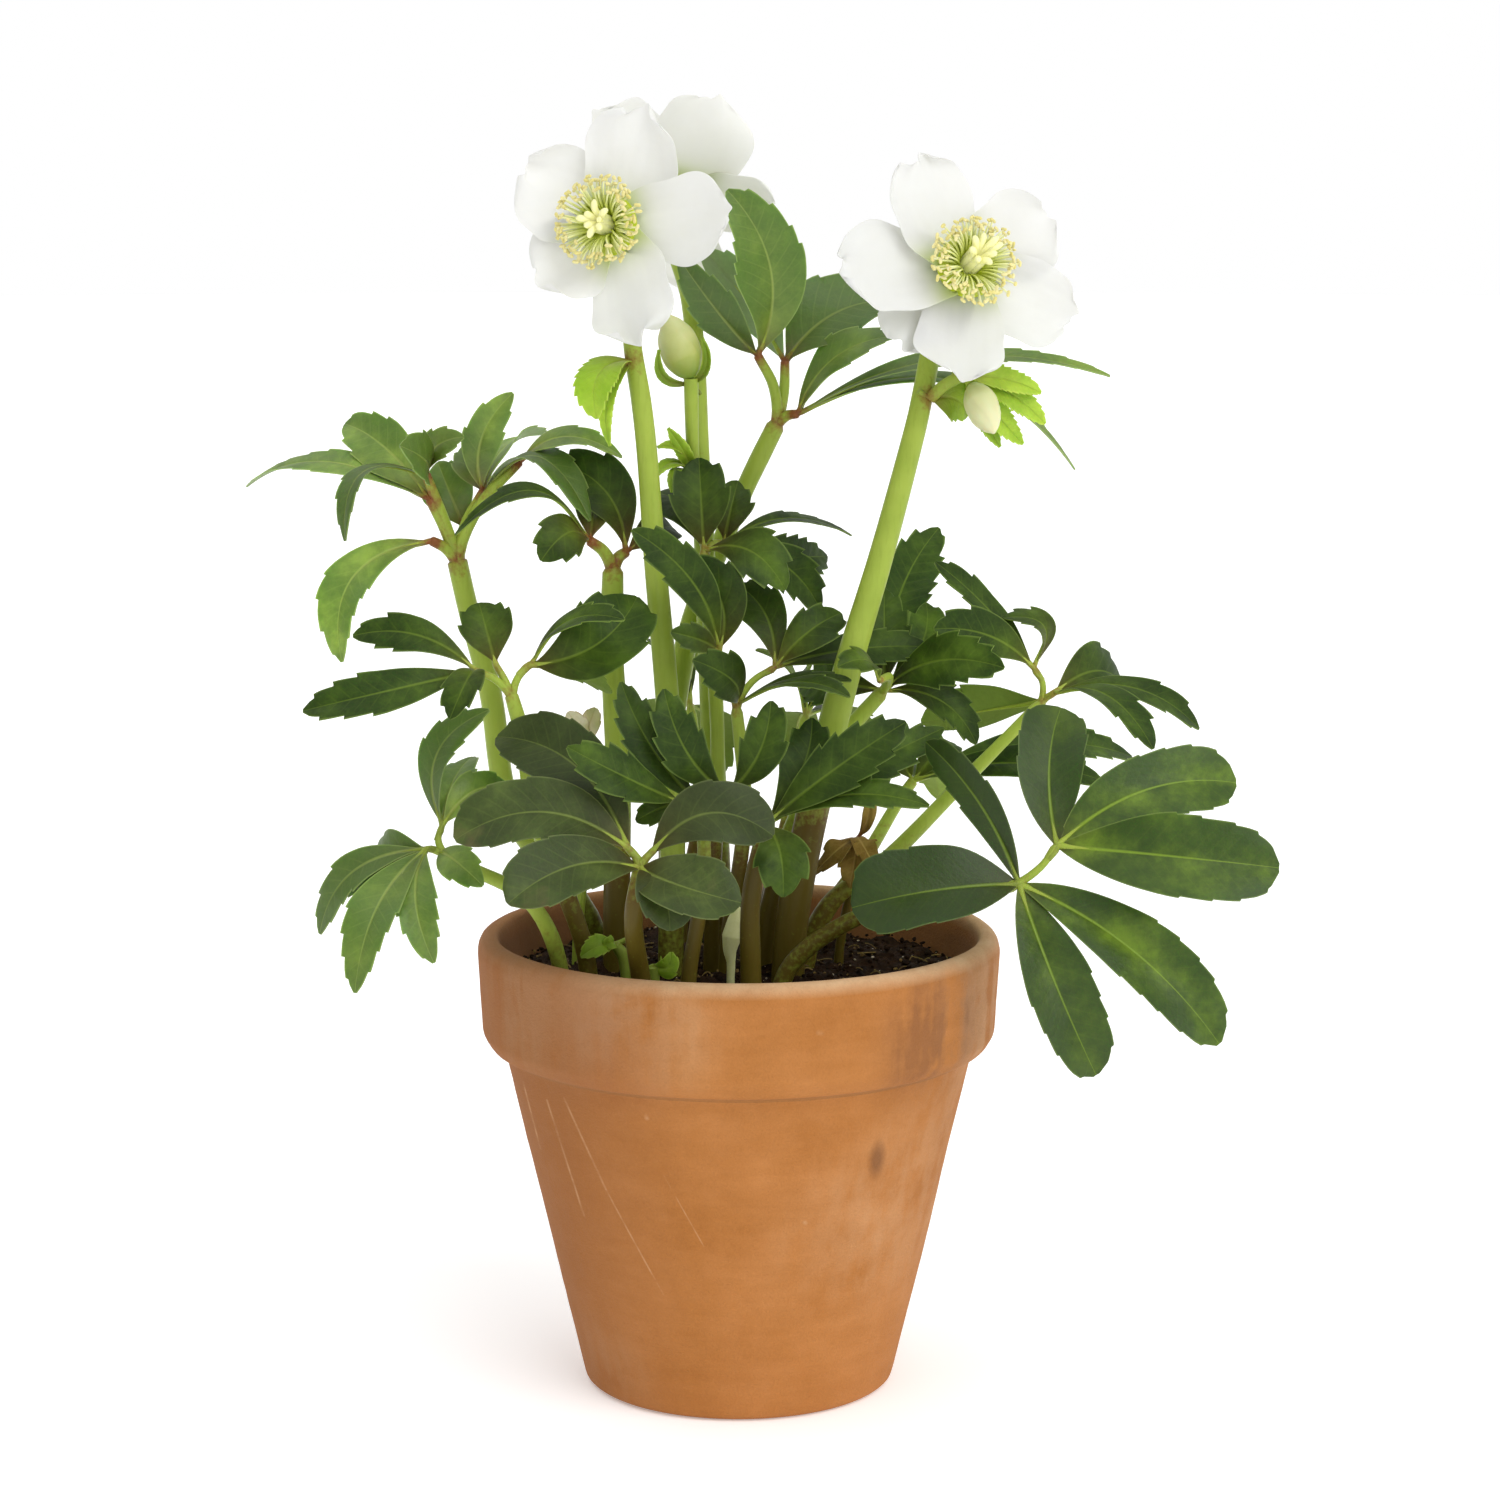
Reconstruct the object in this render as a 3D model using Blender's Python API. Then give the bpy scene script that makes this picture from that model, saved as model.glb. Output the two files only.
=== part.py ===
"""Potted hellebore: a Christmas rose in a clay flowerpot.

The pot and the compost are turned shapes. Every leaf, flower stalk and bloom is its own solid, standing in its
own hole in the compost. Plant tables give points as the photograph shows them (pixel across, pixel down) with a
depth in millimetres behind the pot's axis, and seen() turns them into the model's frame.
Tables and shape functions work in millimetres; put_mesh() scales them to metres. +Z is up, +X is to the
viewer's right, +Y points away from the viewer, and the origin is the centre of the pot's foot.
"""

import math
from collections import namedtuple

import bpy
import numpy as np

MM = 0.001
UP = np.array([0.0, 0.0, 1.0])

# Pot, in millimetres
RIM_RADIUS = 85.0
POT_HEIGHT = 150.0
FOOT_RADIUS = 51.1
MOUTH_RADIUS = 78.0
COLLAR_BOTTOM_RADIUS = 83.6
COLLAR_BOTTOM = 118.0
NECK_RADIUS = 76.5
NECK_HEIGHT = 112.2
FLOOR_THICKNESS = 9.0
DRAIN_RADIUS = 9.0
INNER_FOOT_RADIUS = 43.5
POT_SIDES = 32

# Compost
SOIL_LEVEL = 137.0
SOIL_LUMPS = 1.6
FIT_GAP = 0.4
HOLE_BOTTOM = 123.0
STEM_FOOT = 123.5

# Growth
BLADE_THICKNESS = 0.7
BLADE_START = 0.2
STEM_SIDES = 6
LEAF_FOLD = math.radians(17)
FOLDED_WIDTH = 10.2
TOOTH_STATIONS = {1: (0.8,), 2: (0.58, 0.82)}
YOUNG_LEAVES = ("leaf_left_top", "leaf_left_low", "leaf_right_top", "leaf_top")

# Blooms
SEPAL_THICKNESS = 0.8
SEPAL_START = 4.2
SEPAL_CUP = 0.14
SEPAL_TURN = 0.16
RECEPTACLE = 3.6
NECTARIES = 9
STAMENS = 15
STYLES = 4

# Colour and roughness of each kind of piece
FINISHES = {
    "terracotta": ((0.52, 0.23, 0.09), 0.85),
    "compost": ((0.03, 0.018, 0.011), 0.95),
    "mature leaf": ((0.035, 0.085, 0.022), 0.45),
    "young leaf": ((0.13, 0.27, 0.06), 0.5),
    "sepal": ((0.88, 0.87, 0.82), 0.55),
    "bloom centre": ((0.62, 0.62, 0.16), 0.6),
    "stalk": ((0.3, 0.42, 0.1), 0.5),
    "bud": ((0.6, 0.63, 0.4), 0.5),
    "dry leaf": ((0.2, 0.14, 0.05), 0.8),
}
SHARP_ANGLE = math.radians(40)

# The photograph's camera, worked out from the ellipses of the pot's rim and foot
PHOTO_CENTRE = 750.0
PHOTO_FOCAL = 3944.0
EYE = np.array([3.7, -1260.0, 412.6])
PITCH = math.radians(9.16)


def seen(across, down, depth):
    """The point, in millimetres, that the photograph shows at that pixel, at that depth behind the pot's axis."""
    forward = np.array([0.0, math.cos(PITCH), -math.sin(PITCH)])
    upward = np.array([0.0, math.sin(PITCH), math.cos(PITCH)])
    ray = forward - upward * (down - PHOTO_CENTRE) / PHOTO_FOCAL
    ray[0] += (across - PHOTO_CENTRE) / PHOTO_FOCAL
    return EYE + ray * (depth - EYE[1]) / ray[1]


# A blade grows from the hub or a named arm to its tip. wide is its half width and arch how far its middle
# stands out towards the side that it faces. bow is how far the middle stands off sideways, clockwise for the viewer.
Blade = namedtuple("Blade", "start x y depth wide arch bow face teeth", defaults=(5, 0, None, 1))
# girth is the stem's radius at the compost and at the hub. stem, hub and arms are points of the photograph.
Leaf = namedtuple("Leaf", "name root girth stem hub arms face blades")

VIEWER = (0.0, -0.9, 0.4)
SKY = (0.0, -0.35, 0.93)
AWAY = (0.0, 0.8, 0.6)

LEAVES = [
    Leaf("leaf_right_front", (14, -29), (3.0, 2.1), [(850, 921, -32), (940, 903, -42)], (1019, 884, -48),
         {"upper": (1057, 846, -47)}, (0.12, -0.86, 0.5), [
        Blade("hub", 926, 742, -32, 8.5, 4, 5, (-0.5, -0.8, 0.3)),
        Blade("upper", 1061, 708, -22, 14, 4, -4, None, 2),
        Blade("upper", 1236, 783, -33, 15, 6, -2, None, 2),
        Blade("upper", 1279, 868, -60, 17, 6, 3, None, 2),
        Blade("hub", 1219, 1044, -66, 15.5, 6, -1, None, 2),
        Blade("hub", 1096, 1075, -64, 17, 6, 0, None, 2),
        Blade("hub", 852, 908, -52, 16, 4, 0, (-0.1, -0.8, 0.6), 2)]),
    Leaf("leaf_right_top", (22, 6), (4.0, 2.4), [(830, 904, 6), (883, 862, 8), (964, 781, 12)], (1044, 700, 16),
         {"left": (1034, 668, 15), "right": (1054, 693, 14)}, SKY, [
        Blade("left", 935, 562, 22, 6.5, 3, 0, (0.3, -0.6, 0.7)),
        Blade("left", 1003, 618, 17, 7, 8, 6, (0.6, -0.4, 0.6)),
        Blade("left", 934, 629, -2, 10.5, 2, 4, VIEWER),
        Blade("hub", 921, 722, 30, 13.5, 4, 4, (-0.1, 0.8, 0.6)),
        Blade("right", 1153, 749, -20, 7, 9, 0, (0.3, -0.5, 0.8)),
        Blade("right", 1199, 729, 12, 7.5, 9, 0, (0.3, -0.4, 0.9)),
        Blade("right", 1122, 684, 36, 11.5, 5, -4, VIEWER)]),
    Leaf("leaf_right_back", (24, 26), (2.4, 1.8), [(871, 848, 34), (903, 795, 42)], (913, 781, 44),
         {}, SKY, [
        Blade("hub", 884, 738, 52, 7, 4, 0, VIEWER),
        Blade("hub", 950, 742, 58, 7.5, 5, 0, VIEWER),
        Blade("hub", 1132, 757, 74, 8.5, 12, 0, (0.2, -0.6, 0.8)),
        Blade("hub", 1103, 781, 36, 8, 10, 0, (0.2, -0.7, 0.7)),
        Blade("hub", 940, 800, 92, 9.5, 8, 0, SKY)]),
    Leaf("leaf_centre_right", (8, 0), (3.4, 2.4), [(800, 812, 2), (836, 746, 6)], (884, 690, 8),
         {"left": (880, 680, -20)}, SKY, [
        Blade("left", 838, 667, -34, 6.5, 5, 0, (0, -0.5, 0.8)),
        Blade("hub", 976, 744, 6, 8, 5, -4, (0.3, -0.7, 0.7)),
        Blade("hub", 884, 588, 18, 9.5, 3, 0, VIEWER),
        Blade("hub", 926, 603, 26, 8.5, 3, 5, VIEWER),
        Blade("hub", 939, 528, 54, 10, 3, -5, VIEWER, 2),
        Blade("hub", 1004, 668, -22, 10, 4, -5, VIEWER),
        Blade("hub", 800, 688, 28, 8, 4, 0, VIEWER)]),
    Leaf("leaf_centre", (-4, -10), (2.8, 2.0), [(745, 800, -13)], (736, 704, -15),
         {"left": (719, 651, -18), "right": (775, 667, -13)}, SKY, [
        Blade("left", 632, 530, -34, 9.5, 5, 5, VIEWER),
        Blade("left", 686, 566, -16, 12, 3, 6, VIEWER),
        Blade("left", 671, 632, -30, 5, 3, 0, VIEWER),
        Blade("hub", 693, 660, -40, 8, 6, 2, VIEWER),
        Blade("right", 737, 585, 2, 8, 3, 4, VIEWER),
        Blade("right", 841, 613, -6, 8, 5, 0, (0, -0.8, 0.6)),
        Blade("right", 929, 647, 7, 8, 0, -3, (0, -0.7, 0.7)),
        Blade("hub", 851, 681, -27, 5, 3, -2, SKY),
        Blade("hub", 849, 697, -52, 5, 5, -3, SKY)]),
    Leaf("leaf_centre_back", (-9, 1), (2.6, 1.9), [(716, 700, -2), (708, 610, -3)], (704, 550, -4),
         {"right": (724, 543, 1)}, SKY, [
        Blade("hub", 699, 458, -1, 11, 3, 0, (0, -0.97, 0.2), 2),
        Blade("hub", 785, 590, -16, 9.5, 6, -4, (0.1, -0.8, 0.5), 2),
        Blade("right", 851, 535, 42, 6, 6, -3, (0, -0.4, 0.9)),
        Blade("right", 827, 556, 34, 8, 3, 3, VIEWER),
        Blade("right", 820, 610, 8, 8, 5, -4, VIEWER),
        Blade("hub", 655, 493, 22, 8, 4, 3, VIEWER),
        Blade("right", 738, 481, 3, 7.5, 3, 0, VIEWER)]),
    Leaf("leaf_top", (-22, 18), (3.8, 3.0), [(676, 700, 22), (692, 620, 24), (714, 562, 25), (742, 495, 24)],
         (778, 421, 22), {"left": (758, 356, 16), "middle": (785, 362, 24), "right": (797, 414, 18)}, VIEWER, [
        Blade("left", 727, 190, 6, 15, 5, 8, (0.25, -0.95, 0.1), 2),
        Blade("left", 679, 258, 2, 8, 5, 0, (-0.5, -0.7, 0.5)),
        Blade("middle", 703, 250, 34, 9.5, 4, 0, AWAY),
        Blade("middle", 893, 301, 34, 15.5, 5, -4, (-0.1, -0.85, 0.5), 2),
        Blade("right", 900, 336, 8, 9.5, 5, -5, (0.1, -0.6, 0.8)),
        Blade("right", 1110, 376, 14, 7, 13, 0, (0, -0.35, 0.95), 2),
        Blade("right", 1075, 469, 26, 6.5, 22, 0, (0.3, -0.3, 0.9))]),
    Leaf("leaf_left_top", (-46, 16), (4.0, 3.2), [(507, 800, 16), (490, 690, 14), (466, 600, 13)],
         (457, 560, 12), {"left": (430, 500, 9), "low": (432, 541, 8), "top": (426, 475, 8),
                          "right": (483, 492, 14), "far": (519, 462, 10), "mid": (464, 528, 20)}, VIEWER, [
        Blade("left", 247, 486, 48, 9.5, 12, 0, (-0.1, -0.5, 0.9), 2),
        Blade("left", 345, 424, 36, 10.5, 5, 3, (-0.3, -0.8, 0.4)),
        Blade("top", 345, 541, -14, 7.5, 13, 4, (-0.6, -0.6, 0.5)),
        Blade("top", 464, 437, 1, 6, 3, -3, (0.2, -0.7, 0.6)),
        Blade("top", 400, 446, -16, 9.5, 4, 0, VIEWER),
        Blade("low", 342, 662, -8, 10.5, 6, 12, (-0.35, -0.85, 0.35), 2),
        Blade("mid", 438, 462, 26, 9.5, 3, 0, (0, -0.95, 0.2)),
        Blade("right", 513, 393, 8, 9.5, 4, -5, (0, -0.95, 0.2)),
        Blade("right", 470, 443, 26, 7.5, 3, 0, (-0.3, -0.9, 0.3)),
        Blade("far", 622, 457, 4, 8.5, 9, 0, (0.1, -0.5, 0.8), 2),
        Blade("right", 547, 433, 38, 9.5, 6, 0, (0.2, 0.5, 0.8)),
        Blade("right", 590, 521, -8, 9.5, 17, 0, (0.5, -0.5, 0.7))]),
    Leaf("leaf_centre_left", (-40, 0), (4.4, 3.4), [(617, 740, -1), (612, 650, -2)], (613, 566, -2),
         {"left": (590, 541, -6), "right": (626, 552, 2)}, SKY, [
        Blade("left", 455, 535, -20, 7, 17, 0, (0, -0.4, 0.9)),
        Blade("left", 541, 561, -22, 8.5, 6, 3, VIEWER, 2),
        Blade("right", 557, 463, 8, 10.5, 5, 6, VIEWER, 2),
        Blade("left", 596, 505, 10, 6.5, 3, 0, VIEWER),
        Blade("right", 672, 527, 20, 7.5, 4, 0, VIEWER)]),
    Leaf("leaf_left", (-48, -22), (3.0, 2.1), [(532, 800, -28), (520, 726, -30)], (511, 694, -30),
         {"left": (477, 671, -33), "middle": (496, 665, -29), "right": (530, 665, -28)}, VIEWER, [
        Blade("left", 303, 711, -46, 10, 7, -4, (-0.1, -0.8, 0.6), 2),
        Blade("left", 353, 636, -30, 8.5, 5, 4, (-0.1, -0.8, 0.6), 2),
        Blade("middle", 479, 603, -22, 10.5, 3, 0, VIEWER),
        Blade("left", 450, 719, -52, 9.5, 7, -3, (-0.3, -0.9, 0.4)),
        Blade("right", 637, 597, -21, 15, 6, 8, (0.1, -0.85, 0.5), 2),
        Blade("right", 624, 620, -50, 7, 6, -4, (0.1, -0.6, 0.8)),
        Blade("right", 612, 692, -22, 7.5, 5, -4, (0, 0.6, 0.8))]),
    Leaf("leaf_left_low", (-56, -30), (2.6, 1.9), [(520, 893, -40), (470, 868, -40)], (440, 852, -38),
         {"upper": (442, 826, -35), "left": (427, 849, -40)}, VIEWER, [
        Blade("upper", 489, 710, -30, 7.5, 5, -9, (-0.6, -0.7, 0.3)),
        Blade("upper", 473, 757, -10, 7.5, 4, 0, (-0.4, -0.8, 0.4)),
        Blade("upper", 512, 790, -20, 7.5, 5, -4, VIEWER),
        Blade("left", 377, 858, -18, 7.5, 5, 0, VIEWER),
        Blade("left", 326, 897, -22, 6.5, 7, 0, VIEWER),
        Blade("left", 320, 934, -36, 7, 8, 5, (-0.3, -0.7, 0.6)),
        Blade("left", 355, 993, -70, 10.5, 8, 2.5, (-0.3, -0.9, 0.3), 2),
        Blade("left", 434, 963, -64, 7.5, 7, 4, (0, -0.95, 0.3)),
        Blade("hub", 483, 886, -54, 7, 5, 0, VIEWER)]),
    Leaf("leaf_front", (-30, -52), (3.2, 2.3), [(634, 905, -66)], (640, 868, -66),
         {"left": (628, 848, -65), "right": (652, 852, -65)}, (0, -0.8, 0.6), [
        Blade("left", 497, 737, -34, 15, 6, 8, (-0.1, -0.85, 0.5), 2),
        Blade("left", 455, 840, -66, 14.5, 6, 8, (-0.1, -0.8, 0.6), 2),
        Blade("hub", 508, 904, -91, 15, 5, 4, (-0.1, -0.8, 0.6), 2),
        Blade("right", 773, 836, -64, 13.5, 6, -8, (0.1, -0.85, 0.5), 2),
        Blade("hub", 741, 903, -86.5, 14, 5, 4, (0.1, -0.8, 0.6)),
        Blade("hub", 670, 931, -84, 10.5, 5, -3, (0, -0.85, 0.5))]),
    Leaf("leaf_front_centre", (-16, -48), (2.6, 2.0), [(704, 870, -48)], (703, 806, -48),
         {"left": (681, 802, -50), "right": (728, 793, -47)}, VIEWER, [
        Blade("left", 567, 747, -66, 10.5, 5, -4, (-0.1, -0.75, 0.65), 2),
        Blade("hub", 621, 682, -48, 7.5, 5, -4, VIEWER, 2),
        Blade("right", 664, 689, -54, 9.5, 5, -5, VIEWER, 2),
        Blade("right", 771, 701, -46, 9.5, 4, 4, VIEWER),
        Blade("left", 636, 821, -54, 5, 3, 0, VIEWER)]),
    Leaf("leaf_back_left", (-20, 38), (2.6, 1.9), [(700, 800, 52)], (690, 705, 62), {}, SKY, [
        Blade("hub", 648, 640, 86, 8.5, 6, 0, (-0.2, 0.5, 0.8)),
        Blade("hub", 724, 622, 80, 8.5, 5, 0, (0, 0.6, 0.8)),
        Blade("hub", 646, 748, 92, 8.5, 8, 0, (-0.2, 0.4, 0.9)),
        Blade("hub", 722, 775, 96, 9, 8, 0, (0.1, 0.6, 0.8))]),
    Leaf("leaf_back_right", (8, 40), (2.8, 2.0), [(792, 800, 50)], (806, 715, 58), {}, SKY, [
        Blade("hub", 756, 650, 76, 8.5, 5, 0, (0, 0.5, 0.8)),
        Blade("hub", 838, 634, 80, 9, 5, 0, (0, 0.6, 0.8)),
        Blade("hub", 886, 668, 86, 9, 7, 0, (0.2, 0.5, 0.8)),
        Blade("hub", 872, 752, 92, 8.5, 8, 0, (0.2, 0.5, 0.9)),
        Blade("hub", 790, 770, 96, 9, 8, 0, (0, 0.6, 0.8))]),
    Leaf("leaf_front_right", (4, -38), (3.6, 2.4), [(752, 890, -40)], (766, 824, -42),
         {}, VIEWER, [
        Blade("hub", 812, 718, -26, 10, 4, 4, VIEWER),
        Blade("hub", 906, 722, -44, 10.5, 5, -3, (0.1, -0.85, 0.5), 2),
        Blade("hub", 929, 806, -54, 7.5, 5, -4, (0.1, -0.7, 0.7)),
        Blade("hub", 783, 897, -58, 10, 5, -2, VIEWER, 2),
        Blade("hub", 944, 728, -20, 8, 5, 0, VIEWER)]),
]

# Blooms. centre is the middle of the receptacle and aim the way that the bloom looks. Each sepal ends at a point of
# the photograph, rise millimetres in front of the bloom's plane.
Sepal = namedtuple("Sepal", "x y rise wide")
Bloom = namedtuple("Bloom", "name centre aim sepals")

BLOOMS = [
    Bloom("left", (611, 227, -14), (-0.38, -0.9, 0.2), [
        Sepal(641, 106, 4, 17), Sepal(731, 210, 7, 17), Sepal(640, 340, 4, 17),
        Sepal(536, 287, 6, 16), Sepal(527, 166, 5, 16.5)]),
    Bloom("back", (684, 192, 34), (0.38, 0.78, 0.5), [
        Sepal(716, 96, 4, 17), Sepal(777, 212, 6, 16), Sepal(700, 300, 3, 15),
        Sepal(592, 240, 6, 15), Sepal(596, 112, 5, 16)]),
    Bloom("right", (964, 270, -20), (0.3, -0.88, 0.36), [
        Sepal(915, 158, 5, 16.5), Sepal(1052, 210, 6, 15.5), Sepal(1074, 322, 5, 15),
        Sepal(964, 379, 6, 14.5), Sepal(899, 345, -5, 13), Sepal(840, 260, 6, 16)]),
]

# Flower stalks. joints are points of the photograph where bracts start, and twigs are side stems with their girth
# at both ends. A bud sits on the end of its stalk's first twig, with its tip at a point of the photograph.
Stalk = namedtuple("Stalk", "name root girth stem joints twigs bracts bud")
Bud = namedtuple("Bud", "x y depth girth")

STALKS = [
    Stalk("left", (-22, -5), (4.7, 2.5), [(672, 780, -8), (655, 560, -12), (641, 400, -13), (633, 350, -12)],
          {"joint": (632, 360, -13)}, [], [
        Blade("joint", 597, 418, -24, 7.5, 7, 3, (-0.5, -0.8, 0.3)),
        Blade("joint", 612, 447, -18, 3.5, 4, 0, (-0.3, -0.9, 0.3))], None),
    Stalk("back", (-6, 12), (4.2, 2.5), [(712, 705, 11), (706, 460, 12), (693, 300, 18)],
          {"joint": (692, 470, 8), "cup": (691, 384, 3)}, [([(694, 480, 10), (692, 430, 4), (691, 378, 2)], (2.0, 2.4))], [
        Blade("cup", 655, 347, -4, 3, 0, -5, (0.3, -0.6, -0.3)),
        Blade("cup", 702, 335, 9, 3, 0, 5, (-0.5, -0.8, 0)),
        Blade("joint", 668, 428, 0, 3, 3, 2, (-0.4, -0.6, 0.6)),
        Blade("joint", 655, 478, -2, 3, 3, 2, (-0.3, -0.7, 0.6))], Bud(668, 315, 0, 6.4)),
    Stalk("right", (16, -12), (5.6, 2.5), [(822, 770, -14), (850, 660, -14), (880, 560, -15), (915, 430, -17)],
          {"joint": (931, 398, -17), "cup": (967, 376, -18.5)},
          [([(930, 398, -17), (950, 382, -19), (966, 376, -20), (972, 384, -22)], (2.0, 1.8))], [
        Blade("joint", 960, 419, -12, 6.5, 2, -2, (-0.2, -0.9, 0.3)),
        Blade("cup", 1041, 393, -10, 4, 0, -2, (0.2, -0.8, 0.5)),
        Blade("cup", 1043, 424, -8, 5, 0, -3, (0.2, -0.8, 0.5)),
        Blade("cup", 1023, 443, -6, 4, -1, 0, (0.1, -0.9, 0.4)),
        Blade("cup", 999, 447, -6, 3, -2, 0, (0.1, -0.9, 0.4))], Bud(994, 433, -33, 5.2)),
]

# Withered pieces, which grow like leaves
WITHERED = [
    Leaf("dry_sheath", (33, 12), (1.6, 1.2), [(852, 880, 12)], (858, 838, 10), {}, VIEWER, [
        Blade("hub", 812, 876, 2, 3.5, 8, -6, (-0.4, -0.6, 0.7)),
        Blade("hub", 848, 884, 0, 4.5, 4, 0, (0, -1, 0.2)),
        Blade("hub", 878, 868, -6, 3.5, 5, 3, (0.3, -0.8, 0.5)),
        Blade("hub", 869, 786, 8, 2.5, 2, 2, VIEWER)]),
    Leaf("old_bloom", (-53, 3), (1.7, 1.2), [(588, 790, 6)], (584, 742, 8), {}, VIEWER, [
        Blade("hub", 568, 712, 0, 3.5, 2, 0, VIEWER),
        Blade("hub", 594, 710, 6, 3, 2, 0, VIEWER),
        Blade("hub", 556, 728, 2, 3, 2, 0, VIEWER)]),
]

# Young shoots at the crown: points of the photograph with the girth at each
Shoot = namedtuple("Shoot", "name root girth points")

SHOOTS = [
    Shoot("shoot_curled", (-36, -25), 1.6, [
        (619, 958, -25, 1.9), (608, 946, -26, 2.0), (594, 946, -28, 1.5), (580, 958, -30, 0.6)]),
    Shoot("shoot_stub", (-27, -29), 2.8, [(655, 960, -29, 3.3), (655, 945, -29, 2.4)]),
    Shoot("shoot_bulb", (-2.5, -20), 1.6, [
        (730, 950, -20, 2.4), (732, 934, -20, 3.4), (738, 906, -20, 1.2)]),
]


def unit(vector):
    return vector / np.linalg.norm(vector)


def smooth_path(points, steps):
    """A curve through the points: cubic pieces whose slopes are weighted by chord length, so that a short
    upright piece stays upright. steps is the number of pieces that each stretch is cut into."""
    points = np.asarray(points, float)
    chords = np.linalg.norm(np.diff(points, axis=0), axis=1)
    slopes = np.diff(points, axis=0) / chords[:, None]
    before, after = chords[:-1, None], chords[1:, None]
    inner = (slopes[1:] * before + slopes[:-1] * after) / (before + after)
    tangents = np.concatenate([slopes[:1], inner, slopes[-1:]])
    pieces = []
    for i, chord in enumerate(chords):
        t = np.linspace(0, 1, steps[i] + 1)[:-1, None]
        pieces.append(
            (2 * t**3 - 3 * t**2 + 1) * points[i]
            + (t**3 - 2 * t**2 + t) * chord * tangents[i]
            + (3 * t**2 - 2 * t**3) * points[i + 1]
            + (t**3 - t**2) * chord * tangents[i + 1]
        )
    return np.concatenate([*pieces, points[-1:]])


def tube(path, radii, sides=STEM_SIDES):
    """A round stem along the path: a ring of points at each step, with both ends closed."""
    path = np.asarray(path, float)
    tangents = np.gradient(path, axis=0)
    across = unit(np.cross(tangents[0], [0.3, 1.0, 0.2]))
    rings = []
    for point, tangent, radius in zip(path, tangents, radii):
        tangent = unit(tangent)
        across = unit(across - tangent * (across @ tangent))
        other = np.cross(tangent, across)
        turn = np.arange(sides) * 2 * math.pi / sides
        rings.append(point + radius * (np.outer(np.cos(turn), across) + np.outer(np.sin(turn), other)))
    return band_solid(rings)


def leaf_outline(s, wide):
    """Half width along a leaflet: a slim wedge, widest at three fifths. Wide leaflets end blunt, slim ones sharp."""
    peak = 0.62
    swell = np.sin(np.pi / 2 * np.clip(s / peak, 0, 1)) ** 1.45
    past = np.clip((s - peak) / (1 - peak), 0, 1)
    if wide >= FOLDED_WIDTH:
        close = (1 - (0.95 * past) ** 2.4) ** 0.6
    else:
        close = np.cos(np.pi / 2 * past) ** 0.75
    return np.maximum(wide * swell * close, 0.8)


def sepal_outline(s, wide):
    """Half width along a sepal: narrow at its foot, widest at three fifths and rounded at the end."""
    peak = 0.6
    swell = 0.16 + 0.84 * np.sin(np.pi / 2 * np.clip(s / peak, 0, 1))
    close = np.sqrt(1 - np.clip((s - peak) / (1.03 - peak), 0, 1) ** 2.2)
    return wide * swell * close


def leaf_stations(teeth):
    """(station, share of the outline) pairs. Each tooth is a point on the outline with a notch just past it."""
    stations = [(0.0, 1.0), (0.15, 1.0), (0.38, 1.0)]
    for at in TOOTH_STATIONS[teeth]:
        stations += [(at, 1.0), (at + 0.035, 0.86)]
    return stations + [(1.0, 1.0)]


def blade_frame(base, tip, arch, bow, face, s):
    """Midrib points, side directions and upper-side normals at the stations s."""
    chord = tip - base
    along = unit(chord)
    normal = unit(face - along * (face @ along))
    side = np.cross(along, normal)
    bulge = (4 * s * (1 - s))[:, None]
    slope = (4 * (1 - 2 * s))[:, None]
    middle = base + s[:, None] * chord + bulge * (normal * arch + side * bow)
    tangent = chord + slope * (normal * arch + side * bow)
    tangent /= np.linalg.norm(tangent, axis=1)[:, None]
    upper = np.cross(side, tangent)
    upper /= np.linalg.norm(upper, axis=1)[:, None]
    return middle, np.cross(tangent, upper), upper


def plate(top, bottom):
    """A closed thin plate from two like grids of points, split into triangles alike on both faces."""
    rows, columns = top.shape[:2]
    points = np.concatenate([top.reshape(-1, 3), bottom.reshape(-1, 3)])
    under = rows * columns
    faces = []
    for i in range(rows - 1):
        for j in range(columns - 1):
            a, b = i * columns + j, i * columns + j + 1
            c, d = a + columns, b + columns
            faces += [(a, b, d), (a, d, c), (under + a, under + d, under + b), (under + a, under + c, under + d)]
    right = columns - 1
    for i in range(rows - 1):
        a, c = i * columns, (i + 1) * columns
        faces += [(a, c, under + c), (a, under + c, under + a)]
        a, c = a + right, c + right
        faces += [(a, under + c, c), (a, under + a, under + c)]
    end = (rows - 1) * columns
    for j in range(right):
        faces += [(j, under + j, under + j + 1), (j, under + j + 1, j + 1)]
        a, b = end + j, end + j + 1
        faces += [(a, under + b, under + a), (a, b, under + b)]
    return points, faces


def leaf_blade(base, blade, face):
    """One leaflet with a toothed edge past the middle. A wide one is folded up a little along its midrib."""
    tip = seen(blade.x, blade.y, blade.depth)
    base = base + unit(tip - base) * BLADE_START
    stations = leaf_stations(blade.teeth)
    s = np.array([at for at, _ in stations])
    share = np.array([part for _, part in stations])
    middle, side, upper = blade_frame(base, tip, blade.arch, blade.bow, unit(np.array(face, float)), s)
    half = (leaf_outline(s, blade.wide) * share)[:, None]
    folded = blade.wide >= FOLDED_WIDTH
    spread = np.array([-1, 0, 1] if folded else [-1, 1])[None, :, None]
    fold = LEAF_FOLD if folded else 0
    outward = side[:, None] * math.cos(fold) * spread + upper[:, None] * math.sin(fold) * np.abs(spread)
    centre = middle[:, None] + outward * half[:, None]
    rise = upper[:, None] * BLADE_THICKNESS / 2
    return plate(centre + rise, centre - rise)


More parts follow.
